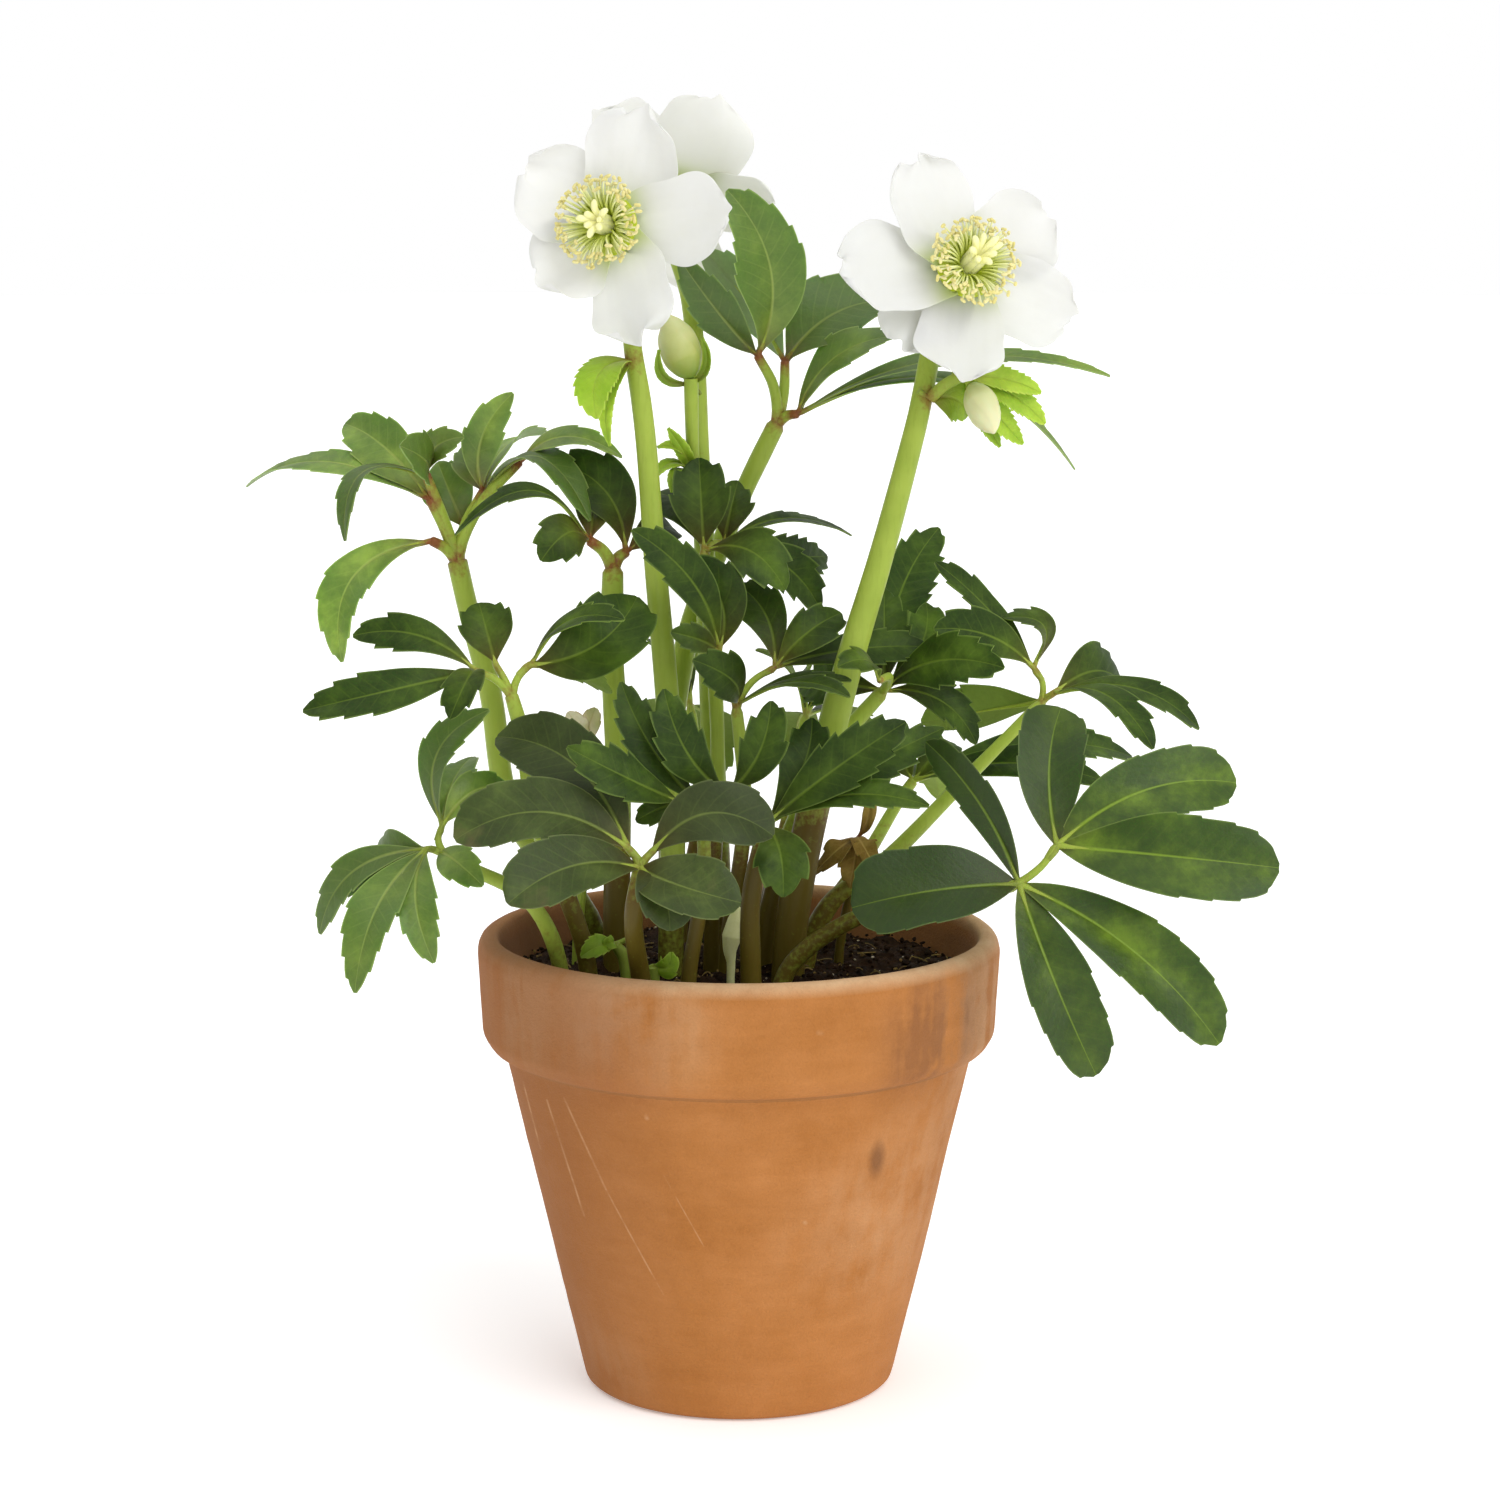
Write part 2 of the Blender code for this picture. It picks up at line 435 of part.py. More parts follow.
def on_plane(across, down, centre, aim, rise):
    """The point that the photograph shows at that pixel, rise millimetres in front of a bloom's plane."""
    near, far = seen(across, down, 0), seen(across, down, 100)
    share = (rise - (near - centre) @ aim) / ((far - near) @ aim)
    return near + share * (far - near)


def sepal_blade(centre, aim, sepal):
    """One sepal, cupped forward. It is turned a little on its own axis, so that it overlaps its neighbours."""
    tip = on_plane(sepal.x, sepal.y, centre, aim, sepal.rise)
    base = centre + unit(tip - centre) * SEPAL_START
    s = np.array([0, 0.3, 0.6, 0.88, 1])
    v = np.array([-1, -0.4, 0.4, 1])
    turned = aim + SEPAL_TURN * unit(np.cross(tip - centre, aim))
    middle, side, upper = blade_frame(base, tip, -0.09 * np.linalg.norm(tip - base), 0, turned, s)
    half = sepal_outline(s, sepal.wide)[:, None, None]
    spread = v[None, :, None]
    centre_line = middle[:, None] + side[:, None] * spread * half
    centre_line = centre_line + upper[:, None] * SEPAL_CUP * spread**2 * half
    rise = upper[:, None] * SEPAL_THICKNESS / 2
    return plate(centre_line + rise, centre_line - rise)


def ring_of(count, radius, rise, centre, aim, offset=0.0):
    """Points spaced evenly round the bloom's axis."""
    across = unit(np.cross(aim, UP))
    over = np.cross(aim, across)
    turn = (np.arange(count) + offset) * 2 * math.pi / count
    return centre + aim * rise + radius * (np.outer(np.cos(turn), across) + np.outer(np.sin(turn), over))


def bloom_sepals(bloom):
    centre, aim = seen(*bloom.centre), unit(np.array(bloom.aim))
    receptacle = tube([centre - aim * RECEPTACLE / 2, centre + aim * RECEPTACLE / 2], [4.5, 5.5], sides=10)
    return [receptacle] + [sepal_blade(centre, aim, sepal) for sepal in bloom.sepals]


def nectary_cup(centre, aim):
    """The ring of tubular nectaries, as one cup with a fluted rim round the flat middle of the bloom."""
    flute = np.resize([1.0, 0.84], 2 * NECTARIES)
    bands = ((4.4, 0, 0), (8.8, 4.6, 1), (7.4, 4.9, 1), (3.6, 2.0, 0))
    rings = []
    for radius, rise, fluted in bands:
        ring = ring_of(2 * NECTARIES, radius, rise, centre, aim)
        axis = centre + aim * rise
        share = (flute if fluted else np.ones_like(flute))[:, None]
        rings.append(axis + (ring - axis) * share)
    return band_solid(rings)


def band_solid(rings):
    """A closed solid from a stack of like rings, with a flat face at each end."""
    sides = len(rings[0])
    faces = []
    for i in range(len(rings) - 1):
        for j in range(sides):
            k = (j + 1) % sides
            faces.append((i * sides + j, i * sides + k, (i + 1) * sides + k, (i + 1) * sides + j))
    last = (len(rings) - 1) * sides
    faces.append(tuple(range(sides))[::-1])
    faces.append(tuple(last + j for j in range(sides)))
    return np.concatenate(rings), faces


def bloom_centre(bloom):
    """Nectaries, stamens and styles on a disc that lies just in front of the sepals."""
    centre, aim = seen(*bloom.centre), unit(np.array(bloom.aim))
    base = RECEPTACLE / 2 + FIT_GAP
    pieces = [nectary_cup(centre + aim * base, aim)]
    paths = [
        ring_of(STAMENS, radius, base + rise, centre, aim, 0.5) for radius, rise in ((2.6, 1.6), (9.0, 8.4), (15.4, 9.4))
    ]
    pieces += [tube(path, [0.6, 0.5, 1.4], sides=3) for path in zip(*paths)]
    paths = [
        ring_of(STYLES, radius, base + rise, centre, aim, 0.25) for radius, rise in ((1.2, 1.4), (1.6, 7.5), (4.6, 10.5))
    ]
    pieces += [tube(path, [1.3, 1.0, 0.6], sides=4) for path in zip(*paths)]
    return pieces


def bud_shape(start, tip, girth):
    """An egg-shaped bud, FIT_GAP clear of the twig that carries it."""
    along = unit(tip - start)
    t = np.array([0, 0.12, 0.35, 0.6, 0.84, 1])
    path = start + along * 2 * FIT_GAP + t[:, None] * (tip - start - along * 2 * FIT_GAP)
    return tube(path, girth * np.array([0.3, 0.68, 1, 0.97, 0.6, 0.12]), sides=8)


def root_points(root):
    """The upright foot of a stem, from the bottom of its hole to just above the compost."""
    return [(*root, STEM_FOOT), (*root, SOIL_LEVEL + 2)]


def stem_tube(points, girth):
    path = smooth_path(points, [1] + [2] + [1] * (len(points) - 3))
    radii = np.interp(np.linspace(0, 1, len(path)), [0, 0.3, 1], [girth[0], girth[0], girth[1]])
    return tube(path, radii)


def longer(path, reach):
    """The path with its last point moved on by reach."""
    end = np.array(path[-1])
    return [*path[:-1], end + unit(end - path[-2]) * reach]


def stalk_pieces(stalk, bloom):
    centre, aim = seen(*bloom.centre), unit(np.array(bloom.aim))
    back = RECEPTACLE / 2 + FIT_GAP
    points = root_points(stalk.root) + [seen(*point) for point in stalk.stem]
    points += [centre - aim * (back + 9), centre - aim * back]
    pieces = [stem_tube(points, stalk.girth)]
    for twig, (thick, thin) in stalk.twigs:
        path = [seen(*point) for point in twig]
        pieces.append(tube(path, np.linspace(thick, thin, len(path))))
    for bract in stalk.bracts:
        pieces.append(leaf_blade(seen(*stalk.joints[bract.start]), bract, bract.face))
    return pieces


def revolved(profile, sides):
    """A turned solid from a closed profile of (radius, height) points."""
    profile = np.array(profile, float)
    turn = np.arange(sides) * 2 * math.pi / sides
    around = np.stack([np.cos(turn), np.sin(turn)], axis=1)
    points = np.concatenate(
        [np.column_stack([around * radius, np.full(sides, height)]) for radius, height in profile]
    )
    faces = []
    count = len(profile)
    for i in range(count):
        k = (i + 1) % count
        for j in range(sides):
            n = (j + 1) % sides
            faces.append((i * sides + j, i * sides + n, k * sides + n, k * sides + j))
    return points, faces


def inner_radius(height):
    """Radius of the pot's inner wall at that height."""
    share = (height - FLOOR_THICKNESS) / (POT_HEIGHT - 1 - FLOOR_THICKNESS)
    return INNER_FOOT_RADIUS + share * (MOUTH_RADIUS - INNER_FOOT_RADIUS)


def pot_profile():
    """Up the outside from the foot, over the rim, down the inside and through the drain hole."""
    return [
        (FOOT_RADIUS - 3.2, 0), (FOOT_RADIUS - 0.6, 1.6), (FOOT_RADIUS + 0.3, 5.0),
        (NECK_RADIUS, NECK_HEIGHT),
        (COLLAR_BOTTOM_RADIUS - 2.6, NECK_HEIGHT + 1.6),
        (COLLAR_BOTTOM_RADIUS, COLLAR_BOTTOM),
        (RIM_RADIUS, POT_HEIGHT - 5), (RIM_RADIUS - 0.9, POT_HEIGHT - 1.6), (RIM_RADIUS - 3.2, POT_HEIGHT),
        (MOUTH_RADIUS + 1.4, POT_HEIGHT), (MOUTH_RADIUS, POT_HEIGHT - 1.4),
        (inner_radius(FLOOR_THICKNESS), FLOOR_THICKNESS), (DRAIN_RADIUS, FLOOR_THICKNESS),
        (DRAIN_RADIUS, 0),
    ]


def soil_height(x, y):
    """The compost's lumpy surface."""
    swell = np.sin(0.11 * x + 0.4) * np.cos(0.13 * y) + 0.5 * np.sin(0.23 * x - 0.19 * y)
    return SOIL_LEVEL + SOIL_LUMPS * swell


def soil_shape():
    """The compost: a plug FIT_GAP inside the pot, with a lumpy top."""
    turn = np.arange(POT_SIDES) * 2 * math.pi / POT_SIDES
    around = np.stack([np.cos(turn), np.sin(turn)], axis=1)
    bottom = FLOOR_THICKNESS + FIT_GAP
    rings = [np.column_stack([around * (inner_radius(bottom) - FIT_GAP), np.full(POT_SIDES, bottom)])]
    for share in (1.0, 0.74, 0.4):
        flat = around * share * (inner_radius(SOIL_LEVEL - 2) - FIT_GAP)
        height = np.full(POT_SIDES, SOIL_LEVEL - 2) if share == 1.0 else soil_height(*flat.T)
        rings.append(np.column_stack([flat, height]))
    points = np.concatenate(rings + [[(0, 0, soil_height(0, 0))]])
    faces = [tuple(range(POT_SIDES))[::-1]]
    for i in range(len(rings) - 1):
        for j in range(POT_SIDES):
            n = (j + 1) % POT_SIDES
            faces.append((i * POT_SIDES + j, i * POT_SIDES + n, (i + 1) * POT_SIDES + n, (i + 1) * POT_SIDES + j))
    last = (len(rings) - 1) * POT_SIDES
    faces += [(last + j, last + (j + 1) % POT_SIDES, len(points) - 1) for j in range(POT_SIDES)]
    return points, faces


def hole_cutter(root, girth):
    """A shaft that clears a stem of that girth by FIT_GAP on every side."""
    radius = girth + FIT_GAP / math.cos(math.pi / STEM_SIDES)
    return tube([(*root, HOLE_BOTTOM), (*root, SOIL_LEVEL + 9)], [radius, radius])


def make_mesh(name, points, faces):
    mesh = bpy.data.meshes.new(name)
    mesh.from_pydata((np.asarray(points) * MM).tolist(), [], faces)
    mesh.update()
    return mesh


def put_mesh(name, points, faces):
    obj = bpy.data.objects.new(name, make_mesh(name, points, faces))
    bpy.context.scene.collection.objects.link(obj)
    return obj


def finish(obj, kind):
    """Gives the object its own material, and smooth shading on its round parts."""
    colour, roughness = FINISHES[kind]
    made = bpy.data.materials.new(obj.name)
    made.use_nodes = True
    made.diffuse_color = (*colour, 1.0)
    shader = made.node_tree.nodes["Principled BSDF"]
    shader.inputs["Base Color"].default_value = (*colour, 1.0)
    shader.inputs["Roughness"].default_value = roughness
    shader.inputs["Metallic"].default_value = 0.0
    obj.data.materials.clear()
    obj.data.materials.append(made)
    obj.data.shade_smooth()
    obj.data.set_sharp_from_angle(angle=SHARP_ANGLE)


def combined(name, pieces, operation="UNION"):
    """One object from closed pieces: the first joined with the others, or cut by them, in a single Boolean."""
    first = put_mesh(name, *pieces[0])
    others = bpy.data.collections.new(name + "_pieces")
    bpy.context.scene.collection.children.link(others)
    for k, piece in enumerate(pieces[1:]):
        obj = bpy.data.objects.new(f"{name}_piece_{k}", make_mesh(name, *piece))
        others.objects.link(obj)
    join = first.modifiers.new("join", "BOOLEAN")
    join.operation = operation
    join.operand_type = "COLLECTION"
    join.collection = others
    bpy.context.view_layer.update()
    graph = bpy.context.evaluated_depsgraph_get()
    mesh = bpy.data.meshes.new_from_object(first.evaluated_get(graph))
    first.modifiers.clear()
    first.data = mesh
    for obj in list(others.objects):
        bpy.data.objects.remove(obj)
    bpy.data.collections.remove(others)
    return first


def leaf_pieces(leaf):
    hub = seen(*leaf.hub)
    places = {"hub": hub, **{arm: seen(*point) for arm, point in leaf.arms.items()}}
    points = root_points(leaf.root) + [seen(*point) for point in leaf.stem] + [hub]
    thick, thin = leaf.girth[1], leaf.girth[1] * 0.8
    pieces = [stem_tube(longer(points, thick), leaf.girth)]
    for arm in leaf.arms:
        pieces.append(tube(longer([hub, places[arm]], thin), [thin, thin], sides=4))
    for blade in leaf.blades:
        pieces.append(leaf_blade(places[blade.start], blade, blade.face or leaf.face))
    return pieces


def clear_scene():
    for obj in list(bpy.data.objects):
        bpy.data.objects.remove(obj)


def shoot_shape(shoot):
    points = root_points(shoot.root) + [seen(*point[:3]) for point in shoot.points]
    path = smooth_path(points, [1] + [2] * (len(points) - 2))
    girths = [shoot.girth, shoot.girth] + [point[3] for point in shoot.points]
    spread = np.concatenate([[0, 1], 1 + 2 * np.arange(1, len(points) - 1)])
    return tube(path, np.interp(np.arange(len(path)), spread, girths))


def main():
    clear_scene()
    finish(put_mesh("pot", *revolved(pot_profile(), POT_SIDES)), "terracotta")
    for leaf in LEAVES:
        kind = "young leaf" if leaf.name in YOUNG_LEAVES else "mature leaf"
        finish(combined(leaf.name, leaf_pieces(leaf)), kind)
    for bloom, stalk in zip(BLOOMS, STALKS):
        finish(combined("sepals_" + bloom.name, bloom_sepals(bloom)), "sepal")
        finish(combined("centre_" + bloom.name, bloom_centre(bloom)), "bloom centre")
        finish(combined("stalk_" + stalk.name, stalk_pieces(stalk, bloom)), "stalk")
        if stalk.bud:
            end = seen(*stalk.twigs[0][0][-1])
            tip = seen(stalk.bud.x, stalk.bud.y, stalk.bud.depth)
            finish(put_mesh("bud_" + stalk.name, *bud_shape(end, tip, stalk.bud.girth)), "bud")
    for piece in WITHERED:
        finish(combined(piece.name, leaf_pieces(piece)), "bud" if piece.name == "old_bloom" else "dry leaf")
    for shoot in SHOOTS:
        finish(put_mesh(shoot.name, *shoot_shape(shoot)), "stalk")
    stems = [(plant.root, plant.girth[0]) for plant in LEAVES + STALKS + WITHERED]
    stems += [(shoot.root, shoot.girth) for shoot in SHOOTS]
    compost = combined("compost", [soil_shape()] + [hole_cutter(*stem) for stem in stems], "DIFFERENCE")
    finish(compost, "compost")


main()
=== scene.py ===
"""Potted hellebore: a Christmas rose in a clay flowerpot, dressed for rendering.

The solids of the pot, the compost and the plant are the frame. Each of them is replaced here by a finer
surface of the same form: leaflets with saw edges, midribs and veins, pleated sepals with wavy rims, full
rings of stamens and nectaries, and crumbly compost. The plant tables are those of the solids, with some
leaflets and stems a little slimmer. They hold points as the photograph shows them, pixel across and pixel
down, with a depth in millimetres behind the pot's axis, and seen() turns these into the model's frame.
Shape functions work in millimetres, and Surface.build() scales them to metres. +Z is up, +X is to the
viewer's right and +Y points away from the viewer.
"""

import math
from collections import namedtuple
from functools import partial

import bpy
import numpy as np
from bpy.props import FloatProperty, FloatVectorProperty, IntProperty, PointerProperty
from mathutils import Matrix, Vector


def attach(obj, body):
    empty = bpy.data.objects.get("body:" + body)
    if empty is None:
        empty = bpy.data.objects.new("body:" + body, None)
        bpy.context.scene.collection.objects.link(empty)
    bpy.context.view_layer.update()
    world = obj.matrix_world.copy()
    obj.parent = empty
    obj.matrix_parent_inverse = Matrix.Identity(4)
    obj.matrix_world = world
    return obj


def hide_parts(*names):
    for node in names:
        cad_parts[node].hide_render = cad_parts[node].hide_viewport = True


bl_info = {
    "name": "Potted hellebore",
    "version": (1, 0, 0),
    "blender": (4, 5, 0),
    "location": "3D View > Sidebar > Hellebore",
    "description": "Builds a flowering hellebore in a clay flowerpot around its solid model",
    "category": "Object",
}

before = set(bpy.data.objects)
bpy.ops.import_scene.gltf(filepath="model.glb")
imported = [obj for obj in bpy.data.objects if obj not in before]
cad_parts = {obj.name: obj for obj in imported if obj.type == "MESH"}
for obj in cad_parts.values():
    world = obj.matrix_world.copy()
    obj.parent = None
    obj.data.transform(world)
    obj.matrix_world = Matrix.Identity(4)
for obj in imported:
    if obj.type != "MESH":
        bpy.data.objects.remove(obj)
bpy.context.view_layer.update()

MM = 0.001
BODY = "root"

# The photograph's camera, from the ellipses of the pot's rim and foot: pixels, millimetres and radians
PHOTO_SIZE = 1500
PHOTO_CENTRE = 750.0
PHOTO_FOCAL = 3944.0
EYE = np.array([3.7, -1260.0, 412.6])
PITCH = math.radians(9.16)
SENSOR = 36.0

# Steps in which a line of sight is followed to the pot's wall
SIGHT_STEPS = 4000

# Stage: the camera's reach in metres, the floor's (radius, height) rings in millimetres from its lower edge
# inwards, and each lamp's place in metres with its spread in degrees
CAMERA_REACH = 40.0
FLOOR_RINGS = [(8000.0, -5.0), (8000.0, 0.0), (1500.0, 0.0), (300.0, 0.0), (1.0, 0.0)]
FLOOR_SIDES = 96
LAMPS = {"key": ((0.85, -1.15, 1.2), 50), "top": ((-0.35, 0.1, 1.0), 80)}

# The white surroundings: the shares of the way up between which the horizon's light turns into the sky's,
# and the changes towards a side, each an axis, where on it the change starts and ends, and its factor
HORIZON = (0.06, 0.4)
SURROUNDINGS = [("X", 0.3, 1.0, 1.35), ("X", -0.3, -1.0, 0.6), ("Y", -0.2, -1.0, 0.85)]

# Pot, in millimetres
RIM_RADIUS = 85.0
POT_HEIGHT = 150.0
FOOT_RADIUS = 51.1
MOUTH_RADIUS = 78.0
COLLAR_BOTTOM_RADIUS = 83.6
COLLAR_BOTTOM = 118.0
NECK_RADIUS = 76.5
NECK_HEIGHT = 112.2
FLOOR_THICKNESS = 9.0
DRAIN_RADIUS = 9.0
INNER_FOOT_RADIUS = 43.5
DAMP_HEIGHT = 30.0
POT_SIDES = 192

# Unevenness of the pot's wall and of the compost: how high it is and how long, in millimetres, and its seed
WALL_SWELLS = [(0.28, 60, 3), (0.07, 9, 4)]
SOIL_SWELLS = [(1.1, 12, 21), (0.55, 5.5, 22), (0.4, 3, 23)]

# Compost, and the stems' feet in it, in millimetres
SOIL_LEVEL = 137.0
SOIL_LUMPS = 1.6
FIT_GAP = 0.4
STEM_FOOT = 123.5
SOIL_SIDES = 220
SOIL_RINGS = 66

# Loose parts on the compost: one for how many crumbs, their size in millimetres, the number of their
# material and their seed. The fibres have no size here.
LOOSE_PARTS = [(1, 1.25, 0, 31), (7, 0.95, 1, 32), (9, 0.7, 2, 33)]
FIBRES = (16, 1, 34)

# Growth: gaps and widths in millimetres, the folds of broad and of slim leaflets, the share of a leaflet's
# length in which a tooth drops, how far back each side vein lies for its distance off the midrib, the points
# along a leaflet and across it, and the shares of its length where its rib is set. FAR stands for no joint.
BLADE_START = 0.2
LEAF_FOLD = math.radians(17)
SLIM_FOLD = math.radians(9)
FOLDED_WIDTH = 10.2
TOOTH_DROP = 0.012
VEIN_SLANT = -0.8
BLADE_ROWS = 26
BLADE_COLUMNS = 17
RIB_STATIONS = [0.05, 0.14, 0.3, 0.5, 0.72]
FAR = 99.0
UP = np.array([0.0, 0.0, 1.0])

# Blooms: where a sepal starts and how thick the receptacle is, in millimetres, how far a sepal cups and
# turns, the share of its length where it is widest, the points along it and across it, and the share of a
# turn from each stamen to the next, by the golden ratio
SEPAL_START = 4.2
SEPAL_CUP = 0.1
SEPAL_TURN = 0.16
SEPAL_PEAK = 0.55
SEPAL_ROWS = 44
SEPAL_COLUMNS = 37
RECEPTACLE = 3.6
STAMEN_TURN = 0.618034

# Where the random draws of each group of pieces start
SEEDS = {"leaves": 100, "sepals": 200, "middles": 300, "stalks": 400, "withered": 500, "shoots": 600}


def linear(text):
    """Linear colour from an sRGB hex value, by the sRGB curve."""
    share = np.array([int(text[i : i + 2], 16) for i in (1, 3, 5)]) / 255
    curve = np.where(share <= 0.04045, share / 12.92, ((share + 0.055) / 1.055) ** 2.4)
    return tuple(float(part) for part in curve)


def seen(across, down, depth):
    """The point, in millimetres, that the photograph shows at that pixel, depth behind the pot's axis."""
    forward = np.array([0.0, math.cos(PITCH), -math.sin(PITCH)])
    upward = np.array([0.0, math.sin(PITCH), math.cos(PITCH)])
    ray = forward - upward * (down - PHOTO_CENTRE) / PHOTO_FOCAL
    ray[0] += (across - PHOTO_CENTRE) / PHOTO_FOCAL
    return EYE + ray * (depth - EYE[1]) / ray[1]


# Scratches on the pot: the photograph's pixels where each starts and ends, and half its width in metres
SCRATCHES = [
    ((564, 1098), (606, 1190), 0.0005), ((606, 1190), (664, 1296), 0.0004),
    ((547, 1100), (584, 1216), 0.0005), ((638, 1101), (647, 1118), 0.001),
    ((664, 1176), (704, 1247), 0.0003), ((512, 1130), (530, 1200), 0.0005),
    ((819, 1033), (822, 1034), 0.0011), ((805, 1223), (806, 1224), 0.0009),
]
# Pale lime and darker smudges on the clay: pixels of the photograph, reach in metres, strength and colour.
#  Two of the pale patches, on the right side, are painted light.
LIME = "#D0B08C"
RUST = "#96562E"
SOOT = "#74492A"
PATCHES = [
    (530, 985, 0.045, 0.8, LIME), (575, 985, 0.03, 0.5, LIME), (640, 1020, 0.035, 0.2, LIME),
    # Painted light: the patches at (985, 1000) and (925, 1180) are pools of light painted in the lime colour
    (985, 1000, 0.04, 0.3, LIME), (510, 1120, 0.03, 0.22, LIME), (600, 1370, 0.03, 0.22, LIME),
    (925, 1180, 0.06, 0.14, LIME), (845, 1240, 0.04, 0.07, LIME), (585, 1050, 0.034, 0.35, RUST),
    (940, 1035, 0.034, 0.6, SOOT),
]
# Pixels of the photograph where a drop has dried on the clay
DROP_STAIN = (877, 1160)

# How far the styles of each bloom lean, in millimetres
LEANS = {"left": (-0.6, 0.0, 0.4), "back": (0.0, 0.0, 0.5), "right": (2.4, 0.0, 3.2)}

# Painted light and shade on the sepals of each bloom: the shaded left and back blooms are painted lighter,
# the lit right one darker
SEPAL_PAINTED_LIGHT = {"left": 0.03, "back": 0.1, "right": -0.04}

# Colours of each bud at its foot, half way up and at its tip
BUD_COLOURS = {"back": ("#7A9432", "#A6AE56", "#D2D49C"), "right": ("#A3B455", "#CFD296", "#DCDCAE")}

# A blade grows from the hub or a named arm to its tip. wide is its half width and arch how far its middle
# stands out towards the side that it faces. bow is how far the middle stands off sideways, clockwise for
# the viewer.
Blade = namedtuple("Blade", "start x y depth wide arch bow face", defaults=(5, 0, None))
# girth is the stem's radius at the compost and at the hub. stem, hub and arms are points of the photograph.
Leaf = namedtuple("Leaf", "name root girth stem hub arms face blades")

# Ways that a leaflet's upper side faces: to the viewer, up or to the back
VIEWER = (0.0, -0.9, 0.4)
SKY = (0.0, -0.35, 0.93)
AWAY = (0.0, 0.8, 0.6)

